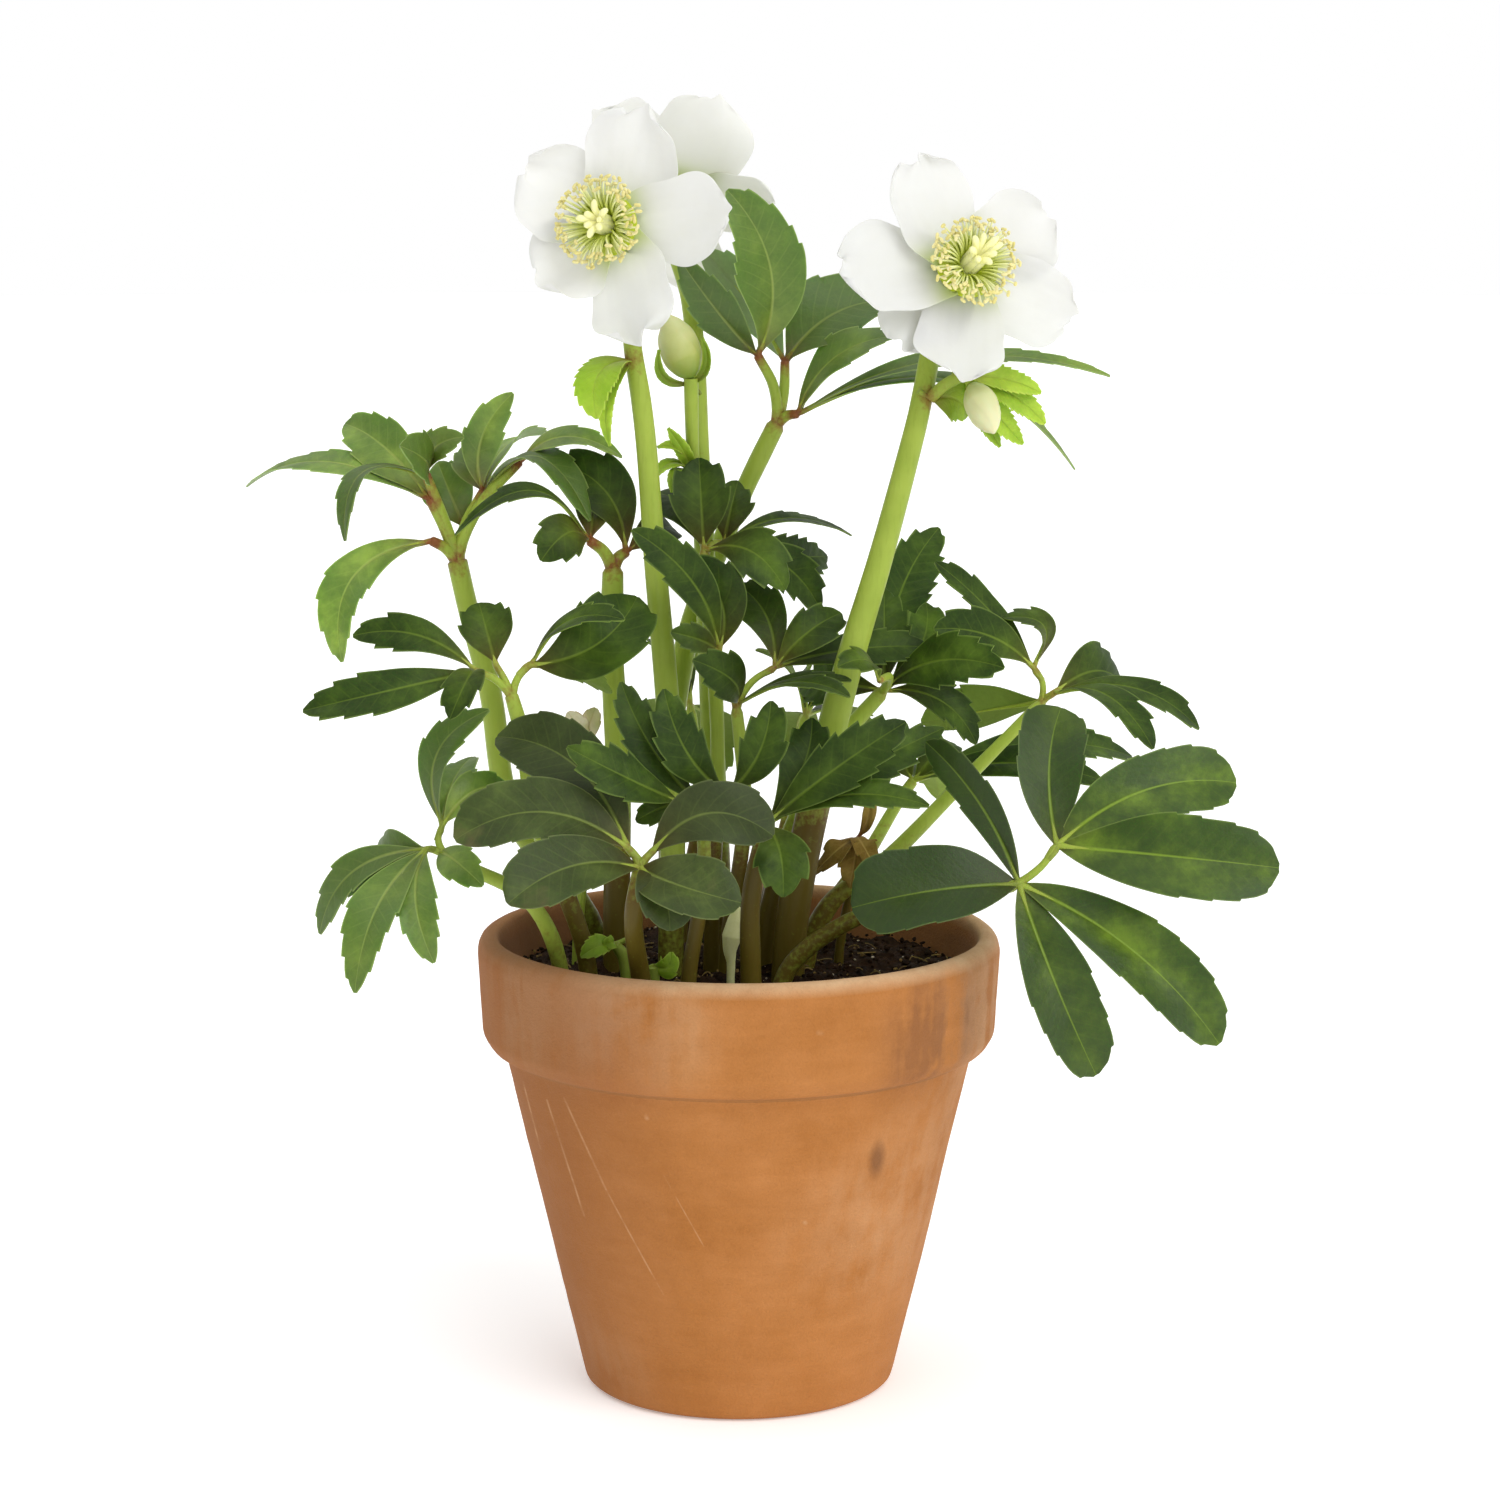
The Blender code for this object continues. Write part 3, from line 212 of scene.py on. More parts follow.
LEAVES = [
    Leaf("leaf_right_front", (14, -29), (3.0, 2.1), [(850, 921, -32), (940, 903, -42)], (1019, 884, -48),
         {"upper": (1057, 846, -47)}, (0.12, -0.86, 0.5), [
        Blade("hub", 926, 742, -32, 6.8, 4, 5, (-0.5, -0.8, 0.3)),
        Blade("upper", 1061, 708, -22, 12.8, 4, -4),
        Blade("upper", 1236, 783, -33, 13.2, 6, -6),
        Blade("upper", 1279, 868, -60, 15.8, 6, 2),
        Blade("hub", 1219, 1044, -66, 12.8, 6, -4),
        Blade("hub", 1096, 1075, -64, 12.6, 6, 3),
        Blade("hub", 852, 908, -52, 16.5, 4, 0, (-0.1, -0.8, 0.6))]),
    Leaf("leaf_right_top", (22, 6), (3.3, 1.8), [(830, 904, 6), (883, 862, 8), (964, 781, 12)],
         (1044, 700, 16), {"left": (1034, 668, 15), "right": (1054, 693, 14)}, SKY, [
        Blade("left", 935, 562, 22, 6.5, 3, 0, (0.3, -0.6, 0.7)),
        Blade("left", 1003, 618, 17, 7, 8, 6, (0.6, -0.4, 0.6)),
        Blade("left", 934, 629, -2, 8.4, 2, 4, VIEWER),
        Blade("hub", 921, 722, 30, 12, 4, 4, (-0.1, 0.8, 0.6)),
        Blade("right", 1153, 749, -20, 7, 9, 0, (0.3, -0.5, 0.8)),
        Blade("right", 1199, 729, 12, 7.5, 9, 0, (0.3, -0.4, 0.9)),
        Blade("right", 1122, 684, 36, 11.5, 5, -4, VIEWER)]),
    Leaf("leaf_right_back", (24, 26), (2.4, 1.8), [(871, 848, 34), (903, 795, 42)], (913, 781, 44),
         {}, SKY, [
        Blade("hub", 884, 738, 52, 7, 4, 0, VIEWER),
        Blade("hub", 950, 742, 58, 7.5, 5, 0, VIEWER),
        Blade("hub", 1132, 757, 74, 8.5, 12, 0, (0.2, -0.6, 0.8)),
        Blade("hub", 1103, 781, 36, 8, 10, 0, (0.2, -0.7, 0.7)),
        Blade("hub", 940, 800, 92, 9.5, 8, 0, SKY)]),
    Leaf("leaf_centre_right", (8, 0), (3.4, 2.4), [(800, 812, 2), (836, 746, 6)], (884, 690, 8),
         {"left": (880, 680, -20)}, SKY, [
        Blade("left", 838, 667, -34, 6.5, 5, 0, (0, -0.5, 0.8)),
        Blade("hub", 976, 744, 6, 8, 5, -4, (0.3, -0.7, 0.7)),
        Blade("hub", 884, 588, 18, 9.5, 3, 0, VIEWER),
        Blade("hub", 926, 603, 26, 8.5, 3, 5, VIEWER),
        Blade("hub", 939, 528, 54, 10, 3, -5, VIEWER),
        Blade("hub", 1004, 668, -22, 10, 4, -5, VIEWER),
        Blade("hub", 800, 688, 28, 8, 4, 0, VIEWER)]),
    Leaf("leaf_centre", (-4, -10), (2.8, 2.0), [(745, 800, -13)], (736, 704, -15),
         {"left": (719, 651, -18), "right": (775, 667, -13)}, SKY, [
        Blade("left", 632, 530, -34, 7.6, 5, 5, VIEWER),
        Blade("left", 686, 566, -16, 10.4, 3, 6, VIEWER),
        Blade("left", 671, 632, -30, 5, 3, 0, VIEWER),
        Blade("hub", 693, 660, -40, 8, 6, 2, VIEWER),
        Blade("right", 737, 585, 2, 8, 3, 4, VIEWER),
        Blade("right", 841, 613, -6, 8, 5, 0, (0, -0.8, 0.6)),
        Blade("right", 929, 647, 7, 8, 0, -3, (0, -0.7, 0.7)),
        Blade("hub", 851, 681, -27, 5, 3, -2, SKY),
        Blade("hub", 849, 697, -52, 5, 5, -3, SKY)]),
    Leaf("leaf_centre_back", (-9, 1), (2.6, 1.9), [(716, 700, -2), (708, 610, -3)], (704, 550, -4),
         {"right": (724, 543, 1)}, SKY, [
        Blade("hub", 699, 458, -1, 11, 3, 0, (0, -0.97, 0.2)),
        Blade("hub", 785, 590, -16, 9.5, 6, -4, (0.1, -0.8, 0.5)),
        Blade("right", 851, 535, 42, 5, 6, -3, (0, -0.4, 0.9)),
        Blade("right", 827, 556, 34, 8, 3, 3, VIEWER),
        Blade("right", 820, 610, 8, 8, 5, -4, VIEWER),
        Blade("hub", 655, 493, 22, 8, 4, 3, VIEWER),
        Blade("right", 738, 481, 3, 7.5, 3, 0, VIEWER)]),
    Leaf("leaf_top", (-22, 18), (3.8, 3.0),
         [(676, 700, 22), (692, 620, 24), (714, 562, 25), (742, 495, 24)], (778, 421, 22),
         {"left": (758, 356, 16), "middle": (785, 362, 24), "right": (797, 414, 18)}, VIEWER, [
        Blade("left", 727, 190, 6, 14, 5, 8, (0.25, -0.95, 0.1)),
        Blade("left", 679, 258, 2, 8, 5, 0, (-0.5, -0.7, 0.5)),
        Blade("middle", 703, 250, 34, 9.5, 4, 0, AWAY),
        Blade("middle", 893, 301, 34, 15.5, 5, -4, (-0.1, -0.85, 0.5)),
        Blade("right", 900, 336, 8, 9.5, 5, -5, (0.1, -0.6, 0.8)),
        Blade("right", 1110, 376, 14, 7, 13, 0, (0, -0.35, 0.95)),
        Blade("right", 1075, 469, 26, 6.5, 22, 0, (0.3, -0.3, 0.9))]),
    Leaf("leaf_left_top", (-46, 16), (4.0, 3.2), [(507, 800, 16), (490, 690, 14), (466, 600, 13)],
         (457, 560, 12), {"left": (430, 500, 9), "low": (432, 541, 8), "top": (426, 475, 8),
                          "right": (483, 492, 14), "far": (519, 462, 10), "mid": (464, 528, 20)}, VIEWER, [
        Blade("left", 247, 486, 48, 7.8, 12, 0, (-0.1, -0.5, 0.9)),
        Blade("left", 345, 424, 36, 10.5, 5, 3, (-0.3, -0.8, 0.4)),
        Blade("top", 345, 541, -14, 6.2, 13, 4, (-0.6, -0.6, 0.5)),
        Blade("top", 464, 437, 1, 6, 3, -3, (0.2, -0.7, 0.6)),
        Blade("top", 400, 446, -16, 9.5, 4, 0, VIEWER),
        Blade("low", 342, 662, -8, 9.6, 6, 12, (-0.35, -0.85, 0.35)),
        Blade("mid", 438, 462, 26, 9.5, 3, 0, (0, -0.95, 0.2)),
        Blade("right", 513, 393, 8, 7.2, 4, -5, (0, -0.95, 0.2)),
        Blade("right", 470, 443, 26, 7.5, 3, 0, (-0.3, -0.9, 0.3)),
        Blade("far", 622, 457, 4, 7, 9, 0, (0.1, -0.5, 0.8)),
        Blade("right", 547, 433, 38, 9.5, 6, 0, (0.2, 0.5, 0.8)),
        Blade("right", 590, 521, -8, 9.5, 17, 0, (0.5, -0.5, 0.7))]),
    Leaf("leaf_centre_left", (-40, 0), (4.4, 3.4), [(617, 740, -1), (612, 650, -2)], (613, 566, -2),
         {"left": (590, 541, -6), "right": (626, 552, 2)}, SKY, [
        Blade("left", 455, 535, -20, 5.6, 17, 0, (0, -0.4, 0.9)),
        Blade("left", 541, 561, -22, 8.5, 6, 3, VIEWER),
        Blade("right", 557, 463, 8, 10.5, 5, 6, VIEWER),
        Blade("left", 596, 505, 10, 6.5, 3, 0, VIEWER),
        Blade("right", 672, 527, 20, 7.5, 4, 0, VIEWER)]),
    Leaf("leaf_left", (-48, -22), (3.0, 2.1), [(532, 800, -28), (520, 726, -30)], (511, 694, -30),
         {"left": (477, 671, -33), "middle": (496, 665, -29), "right": (530, 665, -28)}, VIEWER, [
        Blade("left", 303, 711, -46, 8.8, 7, -4, (-0.1, -0.8, 0.6)),
        Blade("left", 353, 636, -30, 6.8, 5, 4, (-0.1, -0.8, 0.6)),
        Blade("middle", 479, 603, -22, 9.5, 3, 0, VIEWER),
        Blade("left", 450, 719, -52, 7.2, 7, -3, (-0.3, -0.9, 0.4)),
        Blade("right", 637, 597, -21, 15, 6, 8, (0.1, -0.85, 0.5)),
        Blade("right", 624, 620, -50, 6, 6, -4, (0.1, -0.6, 0.8)),
        Blade("right", 612, 692, -22, 6.2, 5, -4, (0, 0.6, 0.8))]),
    Leaf("leaf_left_low", (-56, -30), (2.6, 1.9), [(520, 893, -40), (470, 868, -40)], (440, 852, -38),
         {"upper": (442, 826, -35), "left": (427, 849, -40)}, VIEWER, [
        Blade("upper", 489, 710, -30, 7.5, 5, -9, (-0.6, -0.7, 0.3)),
        Blade("upper", 473, 757, -10, 7.5, 4, 0, (-0.4, -0.8, 0.4)),
        Blade("upper", 512, 790, -20, 7.5, 5, -4, VIEWER),
        Blade("left", 377, 858, -18, 7.5, 5, 0, VIEWER),
        Blade("left", 326, 897, -22, 6.5, 7, 0, VIEWER),
        Blade("left", 320, 934, -36, 7, 8, 5, (-0.3, -0.7, 0.6)),
        Blade("left", 355, 993, -70, 9.6, 8, 2.5, (-0.3, -0.9, 0.3)),
        Blade("left", 434, 963, -64, 7.5, 7, 4, (0, -0.95, 0.3)),
        Blade("hub", 483, 886, -54, 7, 5, 0, VIEWER)]),
    Leaf("leaf_front", (-30, -52), (3.2, 2.3), [(634, 905, -66)], (640, 868, -66),
         {"left": (628, 848, -65), "right": (652, 852, -65)}, (0, -0.8, 0.6), [
        Blade("left", 497, 737, -34, 13, 6, 8, (-0.1, -0.85, 0.5)),
        Blade("left", 455, 840, -66, 12.8, 6, 8, (-0.1, -0.8, 0.6)),
        Blade("hub", 508, 904, -91, 13, 5, 4, (-0.1, -0.8, 0.6)),
        Blade("right", 773, 836, -64, 12, 6, -8, (0.1, -0.85, 0.5)),
        Blade("hub", 741, 903, -86.5, 12.8, 5, 4, (0.1, -0.8, 0.6)),
        Blade("hub", 670, 931, -84, 10.5, 5, -3, (0, -0.85, 0.5))]),
    Leaf("leaf_front_centre", (-16, -48), (2.6, 2.0), [(704, 870, -48)], (703, 806, -48),
         {"left": (681, 802, -50), "right": (728, 793, -47)}, VIEWER, [
        Blade("left", 567, 747, -66, 8.6, 5, -4, (-0.1, -0.75, 0.65)),
        Blade("hub", 621, 682, -48, 7.5, 5, -4, VIEWER),
        Blade("right", 664, 689, -54, 8.4, 5, -5, VIEWER),
        Blade("right", 771, 701, -46, 8, 4, 4, VIEWER),
        Blade("left", 636, 821, -54, 5, 3, 0, VIEWER)]),
    Leaf("leaf_back_left", (-20, 38), (2.6, 1.9), [(700, 800, 52)], (690, 705, 62), {}, SKY, [
        Blade("hub", 648, 640, 86, 8.5, 6, 0, (-0.2, 0.5, 0.8)),
        Blade("hub", 724, 622, 80, 8.5, 5, 0, (0, 0.6, 0.8)),
        Blade("hub", 646, 748, 92, 8.5, 8, 0, (-0.2, 0.4, 0.9)),
        Blade("hub", 722, 775, 96, 9, 8, 0, (0.1, 0.6, 0.8))]),
    Leaf("leaf_back_right", (8, 40), (2.8, 2.0), [(792, 800, 50)], (806, 715, 58), {}, SKY, [
        Blade("hub", 756, 650, 76, 8.5, 5, 0, (0, 0.5, 0.8)),
        Blade("hub", 838, 634, 80, 9, 5, 0, (0, 0.6, 0.8)),
        Blade("hub", 886, 668, 86, 9, 7, 0, (0.2, 0.5, 0.8)),
        Blade("hub", 872, 752, 92, 8.5, 8, 0, (0.2, 0.5, 0.9)),
        Blade("hub", 790, 770, 96, 9, 8, 0, (0, 0.6, 0.8))]),
    Leaf("leaf_front_right", (4, -38), (3.6, 2.4), [(752, 890, -40)], (766, 824, -42),
         {}, VIEWER, [
        Blade("hub", 812, 718, -26, 8.6, 4, 4, VIEWER),
        Blade("hub", 906, 722, -44, 9.6, 5, 0, (0.1, -0.85, 0.5)),
        Blade("hub", 929, 806, -54, 6, 5, -4, (0.1, -0.7, 0.7)),
        Blade("hub", 783, 897, -58, 9.4, 5, -2, VIEWER),
        Blade("hub", 944, 728, -20, 8, 5, 0, VIEWER)]),
]

# Blooms. centre is the middle of the receptacle and aim the way that the bloom looks. Each sepal ends at a
# point of the photograph, rise millimetres in front of the bloom's plane.
Sepal = namedtuple("Sepal", "x y rise wide")
Bloom = namedtuple("Bloom", "name centre aim sepals")

BLOOMS = [
    Bloom("left", (611, 227, -14), (-0.38, -0.9, 0.2), [
        Sepal(641, 107, 4, 15), Sepal(730, 212, 7, 13.5), Sepal(640, 340, 4, 15),
        Sepal(536, 280, 6, 15.5), Sepal(524, 166, 5, 15)]),
    Bloom("back", (684, 192, 34), (0.38, 0.78, 0.5), [
        Sepal(716, 96, 4, 15.5), Sepal(777, 212, 6, 14), Sepal(700, 300, 3, 14),
        Sepal(592, 240, 6, 14.5), Sepal(596, 112, 5, 15.5)]),
    Bloom("right", (964, 270, -20), (0.3, -0.88, 0.36), [
        Sepal(915, 158, 5, 15.5), Sepal(1050, 214, 6, 14.5), Sepal(1074, 318, 5, 13.5),
        Sepal(962, 379, 6, 13.8), Sepal(899, 345, -5, 13), Sepal(840, 262, 6, 15)]),
]

# Flower stalks. joints are points of the photograph where bracts start, and twigs are side stems with their
# girth at both ends. A bud sits on the end of its stalk's first twig, with its tip at a point of the
# photograph.
Stalk = namedtuple("Stalk", "name root girth stem joints twigs bracts bud")
Bud = namedtuple("Bud", "x y depth girth")

STALKS = [
    Stalk("left", (-22, -5), (4.4, 2.4),
          [(672, 780, -8), (655, 560, -12), (641, 400, -13), (633, 350, -12)],
          {"joint": (632, 360, -13)}, [], [
        Blade("joint", 597, 419, -24, 8.6, 7, 3, (-0.5, -0.8, 0.3)),
        Blade("joint", 610, 446, -18, 2.8, 4, 3, (-0.3, -0.9, 0.3))], None),
    Stalk("back", (-6, 12), (4.2, 2.5), [(711, 705, 11), (700, 460, 12), (690, 300, 18)],
          {"joint": (692, 470, 8), "cup": (691, 384, 3)},
          [([(694, 480, 10), (692, 430, 4), (691, 378, 2)], (2.0, 2.4))], [
        Blade("cup", 659, 350, -4, 1.9, 0, -5, (0.3, -0.6, -0.3)),
        Blade("cup", 702, 338, -2, 1.9, 0, 4, (-0.5, -0.8, 0)),
        Blade("joint", 668, 428, 0, 3, 3, 2, (-0.4, -0.6, 0.6)),
        Blade("joint", 658, 447, -4, 2.6, 3, 2, (-0.3, -0.7, 0.6)),
        Blade("joint", 655, 478, -2, 3, 3, 2, (-0.3, -0.7, 0.6)),
        Blade("joint", 672, 492, -6, 2.4, 3, 2, (-0.3, -0.8, 0.4))], Bud(668, 315, 0, 6.4)),
    Stalk("right", (16, -12), (5.6, 2.5),
          [(822, 770, -14), (850, 660, -14), (880, 560, -15), (915, 430, -17)],
          {"joint": (931, 398, -17), "cup": (967, 376, -18.5)},
          [([(930, 398, -17), (950, 382, -19), (966, 376, -20), (972, 384, -22)], (2.0, 1.8))], [
        Blade("joint", 966, 418, -12, 7.6, 3, -3, (-0.2, -0.9, 0.3)),
        Blade("cup", 1041, 393, -10, 5, 0, -2, (0.2, -0.8, 0.5)),
        Blade("cup", 1045, 424, -8, 6, 0, -3, (0.2, -0.8, 0.5)),
        Blade("cup", 1023, 444, -6, 5, -1, 0, (0.1, -0.9, 0.4)),
        Blade("cup", 1000, 447, -6, 4, -2, 0, (0.1, -0.9, 0.4))], Bud(994, 433, -33, 5.2)),
]

# Withered pieces, which grow like leaves
WITHERED = [
    Leaf("dry_sheath", (33, 12), (1.6, 1.2), [(852, 880, 12)], (858, 838, 10), {}, VIEWER, [
        Blade("hub", 812, 876, 2, 4.5, 8, -6, (-0.4, -0.6, 0.7)),
        Blade("hub", 850, 888, 0, 5.5, 4, 0, (0, -1, 0.2)),
        Blade("hub", 878, 872, -6, 4.5, 5, 3, (0.3, -0.8, 0.5)),
        Blade("hub", 869, 786, 8, 2.5, 2, 2, VIEWER)]),
    Leaf("old_bloom", (-53, 3), (1.7, 1.2), [(588, 790, 6)], (584, 742, 8), {}, VIEWER, [
        Blade("hub", 568, 712, 0, 4.6, 2, 0, VIEWER),
        Blade("hub", 596, 708, 6, 4, 2, 0, VIEWER),
        Blade("hub", 556, 730, 2, 3.6, 2, 0, VIEWER)]),
]

# Young shoots at the crown: points of the photograph with the girth at each
Shoot = namedtuple("Shoot", "name root girth points blades")

SHOOTS = [
    Shoot("shoot_curled", (-36, -25), 1.6, [(621, 952, -25, 2.0), (614, 944, -26, 1.6)], [
        Blade("hub", 581, 957, -30, 4.2, 3.5, 0, (0.1, -0.8, 0.6)),
        Blade("hub", 600, 948, -29, 2.6, 4, 0, (-0.3, -0.9, 0.2))]),
    Shoot("shoot_stub", (-27, -29), 2.0, [(653, 966, -29, 1.9)], [
        Blade("hub", 671, 952, -30, 4.2, 1, 3, (0, -0.97, 0.25))]),
    Shoot("shoot_bulb", (-2.5, -20), 1.3, [
        (731, 962, -20, 1.4), (730, 950, -20, 2.2), (732, 936, -20, 3.2), (735, 920, -20, 2.4),
        (738, 906, -20, 1)], []),
]

# The two tones of a shoot that has no leaflets yet
SHOOT_COLOURS = ("#D2D68A", "#F8F5D2")

# How each kind of blade is finished: its material, the spacing and depth of its teeth in millimetres, the
# share of its length where the teeth start, how much its edge waves for its width, how far it twists in
# degrees, and its outline: where it is widest, and how hollow its foot and how blunt its end are
Kind = namedtuple("Kind", "skin spacing depth start wave twist peak foot end")

KINDS = {
    "glossy": Kind("glossy_blade", 9.5, 0.45, 0.45, 0.05, 7, 0.58, 0.8, 3.8),
    "old": Kind("old_blade", 10.0, 0.45, 0.4, 0.05, 7, 0.56, 0.85, 3.2),
    "mature": Kind("mature_blade", 7.2, 1.2, 0.45, 0.08, 16, 0.6, 1.3, 1.7),
    "smooth": Kind("mature_blade", 9.5, 0.95, 0.55, 0.07, 12, 0.6, 1.2, 2.2),
    "young": Kind("young_blade", 7.6, 0.65, 0.45, 0.1, 18, 0.54, 1.1, 1.6),
    "bract": Kind("bract_blade", 2.3, 0.6, 0.25, 0.1, 8, 0.5, 0.7, 1.7),
    "dry": Kind("dry_blade", 5.0, 0.8, 0.5, 0.35, 40, 0.5, 1.0, 1.5),
    "faded": Kind("faded_blade", 9.0, 0.3, 0.6, 0.25, 20, 0.6, 0.8, 2.0),
}

# Share of a solid leaflet's width that the finely drawn outline keeps, because it is fuller than the
# solid's corners
FULLNESS = 0.88

# Kind, tone from -1, dark, to 1, light, and the share of red in the stem at the hub and at the compost,
# which
#  also sets how far up the stem's brown foot and its painted shade reach
Look = namedtuple("Look", "kind tone hub foot")

LOOKS = {
    "leaf_right_front": Look("glossy", 0.0, 0.25, 0.8),
    "leaf_right_top": Look("smooth", 0.5, 0.5, 0.8),
    "leaf_right_back": Look("smooth", 0.7, 0.3, 0.8),
    "leaf_centre_right": Look("mature", 0.4, 0.5, 1.0),
    "leaf_centre": Look("smooth", -0.3, 0.6, 1.1),
    "leaf_centre_back": Look("mature", -0.1, 0.6, 1.1),
    "leaf_top": Look("young", -0.15, 0.9, 1.0),
    "leaf_left_top": Look("young", 0.0, 1.0, 0.7),
    "leaf_centre_left": Look("smooth", 0.0, 1.0, 1.0),
    "leaf_left": Look("smooth", 0.3, 0.5, 0.9),
    "leaf_left_low": Look("young", 0.1, 0.2, 0.45),
    "leaf_front": Look("old", 0.0, 0.4, 1.1),
    "leaf_front_centre": Look("mature", -0.2, 0.2, 1.1),
    "leaf_back_left": Look("mature", 0.0, 0.4, 1.0),
    "leaf_back_right": Look("mature", 0.2, 0.4, 1.0),
    "leaf_front_right": Look("mature", 0.0, 0.3, 1.3),
    "dry_sheath": Look("dry", 0.0, 1.0, 1.0),
    "old_bloom": Look("faded", 0.0, 0.2, 0.2),
}

# Share of red in each flower stalk at the compost, which also sets how far up its brown foot and its painted
#  shade reach
STALK_FEET = {"left": 0.7, "back": 0.9, "right": 1.4}

# How much lighter or darker than its leaf each leaflet and bract is: partly its own tone, and partly painted
#  light and shade, darker where it lies in shade, lighter where it is lit from behind or catches the sky's
#  sheen
LEAFLET_TONES_AND_PAINTED_LIGHT = {
    "leaf_right_front": (-1.0, -0.6, 0.3, 0.3, 0.0, -0.4, -1.2),
    "leaf_left_top": (-0.5, 0.0, -1.0, -0.6, -1.1, 0.5, -0.9, -0.5, -0.8, 0.1, 0.6, -1.4),
    "leaf_left_low": (-1.1, -0.6, -0.2, -1.2, -1.4, -1.2, -0.5, -0.7, -0.6),
    "leaf_top": (-0.1, -0.9, -0.3, -0.8, -0.2, -0.3, -0.3),
    "leaf_front": (-0.3, 0.0, 0.2, -0.4, 0.1, -0.2),
    "leaf_centre_right": (0.0, 0.0, 0.0, 0.5, 1.1, 0.3, 0.0),
    "leaf_right_back": (0.0, 0.0, 0.0, 0.0, 0.9),
    "stalk_back": (-1.2, -1.2, -0.6, -0.6, -0.4, -0.4),
    "stalk_right": (-0.6, 0.0, -0.2, -0.3, -0.4),
}


def unit(vectors):
    """Vectors of length 1, along the last axis."""
    vectors = np.asarray(vectors, float)
    return vectors / np.linalg.norm(vectors, axis=-1, keepdims=True)


def blob(distance, width):
    """A soft bump: 1 at no distance, falling as the bell curve exp(-(d / w)^2)."""
    return np.exp(-((distance / width) ** 2))


def columns(*parts):
    """The parts side by side, along a new last axis."""
    return np.stack(np.broadcast_arrays(*parts), axis=-1)


def swell(points, size, seed):
    """Uneven values from -1 to 1: the mean of sine waves, in seeded ways, about size millimetres long."""
    rng = np.random.default_rng(seed)
    ways = unit(rng.normal(size=(9, points.shape[-1]))) * rng.uniform(0.7, 1.6, (9, 1)) * 2 * math.pi / size
    return np.sin(points @ ways.T + rng.uniform(0, 2 * math.pi, 9)).mean(axis=-1) * 1.8


def swells(points, kinds):
    """The swellings of several heights, lengths and seeds together."""
    return sum(high * swell(points, size, seed) for high, size, seed in kinds)


def smooth_path(points, steps):
    """A curve through the points: cubic pieces whose slopes are weighted by chord length, so that a short
    upright piece stays upright. steps is the number of pieces that each stretch is cut into."""
    points = np.asarray(points, float)
    chords = np.linalg.norm(np.diff(points, axis=0), axis=1)
    slopes = np.diff(points, axis=0) / chords[:, None]
    before, after = chords[:-1, None], chords[1:, None]
    inner = (slopes[1:] * before + slopes[:-1] * after) / (before + after)
    tangents = np.concatenate([slopes[:1], inner, slopes[-1:]])
    t = np.linspace(0, 1, steps + 1)[:-1, None]
    pieces = [
        (2 * t**3 - 3 * t**2 + 1) * points[i]
        + (t**3 - 2 * t**2 + t) * chord * tangents[i]
        + (3 * t**2 - 2 * t**3) * points[i + 1]
        + (t**3 - t**2) * chord * tangents[i + 1]
        for i, chord in enumerate(chords)
    ]
    return np.concatenate([*pieces, points[-1:]])


def grid_faces(rows, across, wrapped=False):
    """Quads of a grid of points, row by row. A wrapped grid joins its last column to its first."""
    i = np.arange(rows - 1)[:, None] * across
    j = np.arange(across if wrapped else across - 1)[None]
    k = (j + 1) % across
    return np.stack([i + j, i + k, i + across + k, i + across + j], axis=-1).reshape(-1, 4)


def end_fans(rings, sides):
    """Triangles from the first and the last ring to the two points after them, the foot and the head."""
    j = np.arange(sides)
    k = (j + 1) % sides
    foot, last = rings * sides, (rings - 1) * sides
    return np.concatenate([columns(foot, k, j), columns(foot + 1, last + j, last + k)])


def circle(sides):
    """Points round the unit circle, as an array of (point, xy)."""
    turn = np.arange(sides) * 2 * math.pi / sides
    return columns(np.cos(turn), np.sin(turn))


def shell(top, bottom):
    """A closed thin shell from two like grids: the top, the bottom turned over, and a rim between them."""
    rows, across = top.shape[:2]
    count = rows * across
    index = np.arange(count).reshape(rows, across)
    border = np.concatenate([index[0, :-1], index[:-1, -1], index[-1, :0:-1], index[:0:-1, 0]])
    after = np.roll(border, -1)
    quads = grid_faces(rows, across)
    rim = columns(border, border + count, after + count, after)
    points = np.concatenate([top.reshape(-1, 3), bottom.reshape(-1, 3)])
    return points, [np.concatenate([quads, quads[:, ::-1] + count, rim])]


def tubes(paths, radii, sides, ref):
    """Closed round tubes along like paths, an array of (tube, step, xyz). Each ring is a circle round its
    point: cos(a) times ref, made square to the path, plus sin(a) times the direction square to both."""
    count, steps = paths.shape[:2]
    tangents = unit(np.gradient(paths, axis=1))
    ref = np.broadcast_to(ref, (count, 3))[:, None]
    across = unit(ref - tangents * (ref * tangents).sum(-1, keepdims=True))
    other = np.cross(tangents, across)
    radii = np.asarray(radii, float)
    radii = np.broadcast_to(radii[:, None] if radii.ndim == 1 else radii, (count, steps, sides))[..., None]
    ring = circle(sides)
    ways = ring[:, :1] * across[:, :, None] + ring[:, 1:] * other[:, :, None]
    rings = (paths[:, :, None] + radii * ways).reshape(count, -1, 3)
    points = np.concatenate([rings, paths[:, :1], paths[:, -1:]], axis=1)
    start = (np.arange(count) * points.shape[1])[:, None, None]
    walls, caps = grid_faces(steps, sides, wrapped=True), end_fans(steps, sides)
    return points.reshape(-1, 3), [(walls + start).reshape(-1, 4), (caps + start).reshape(-1, 3)]


def tube(path, radii, sides=14):
    """One tube, with its rings turned from the direction that its path follows least."""
    path = np.asarray(path, float)
    ref = np.linalg.svd(np.gradient(path, axis=0))[2][-1]
    return tubes(path[None], radii, sides, ref)


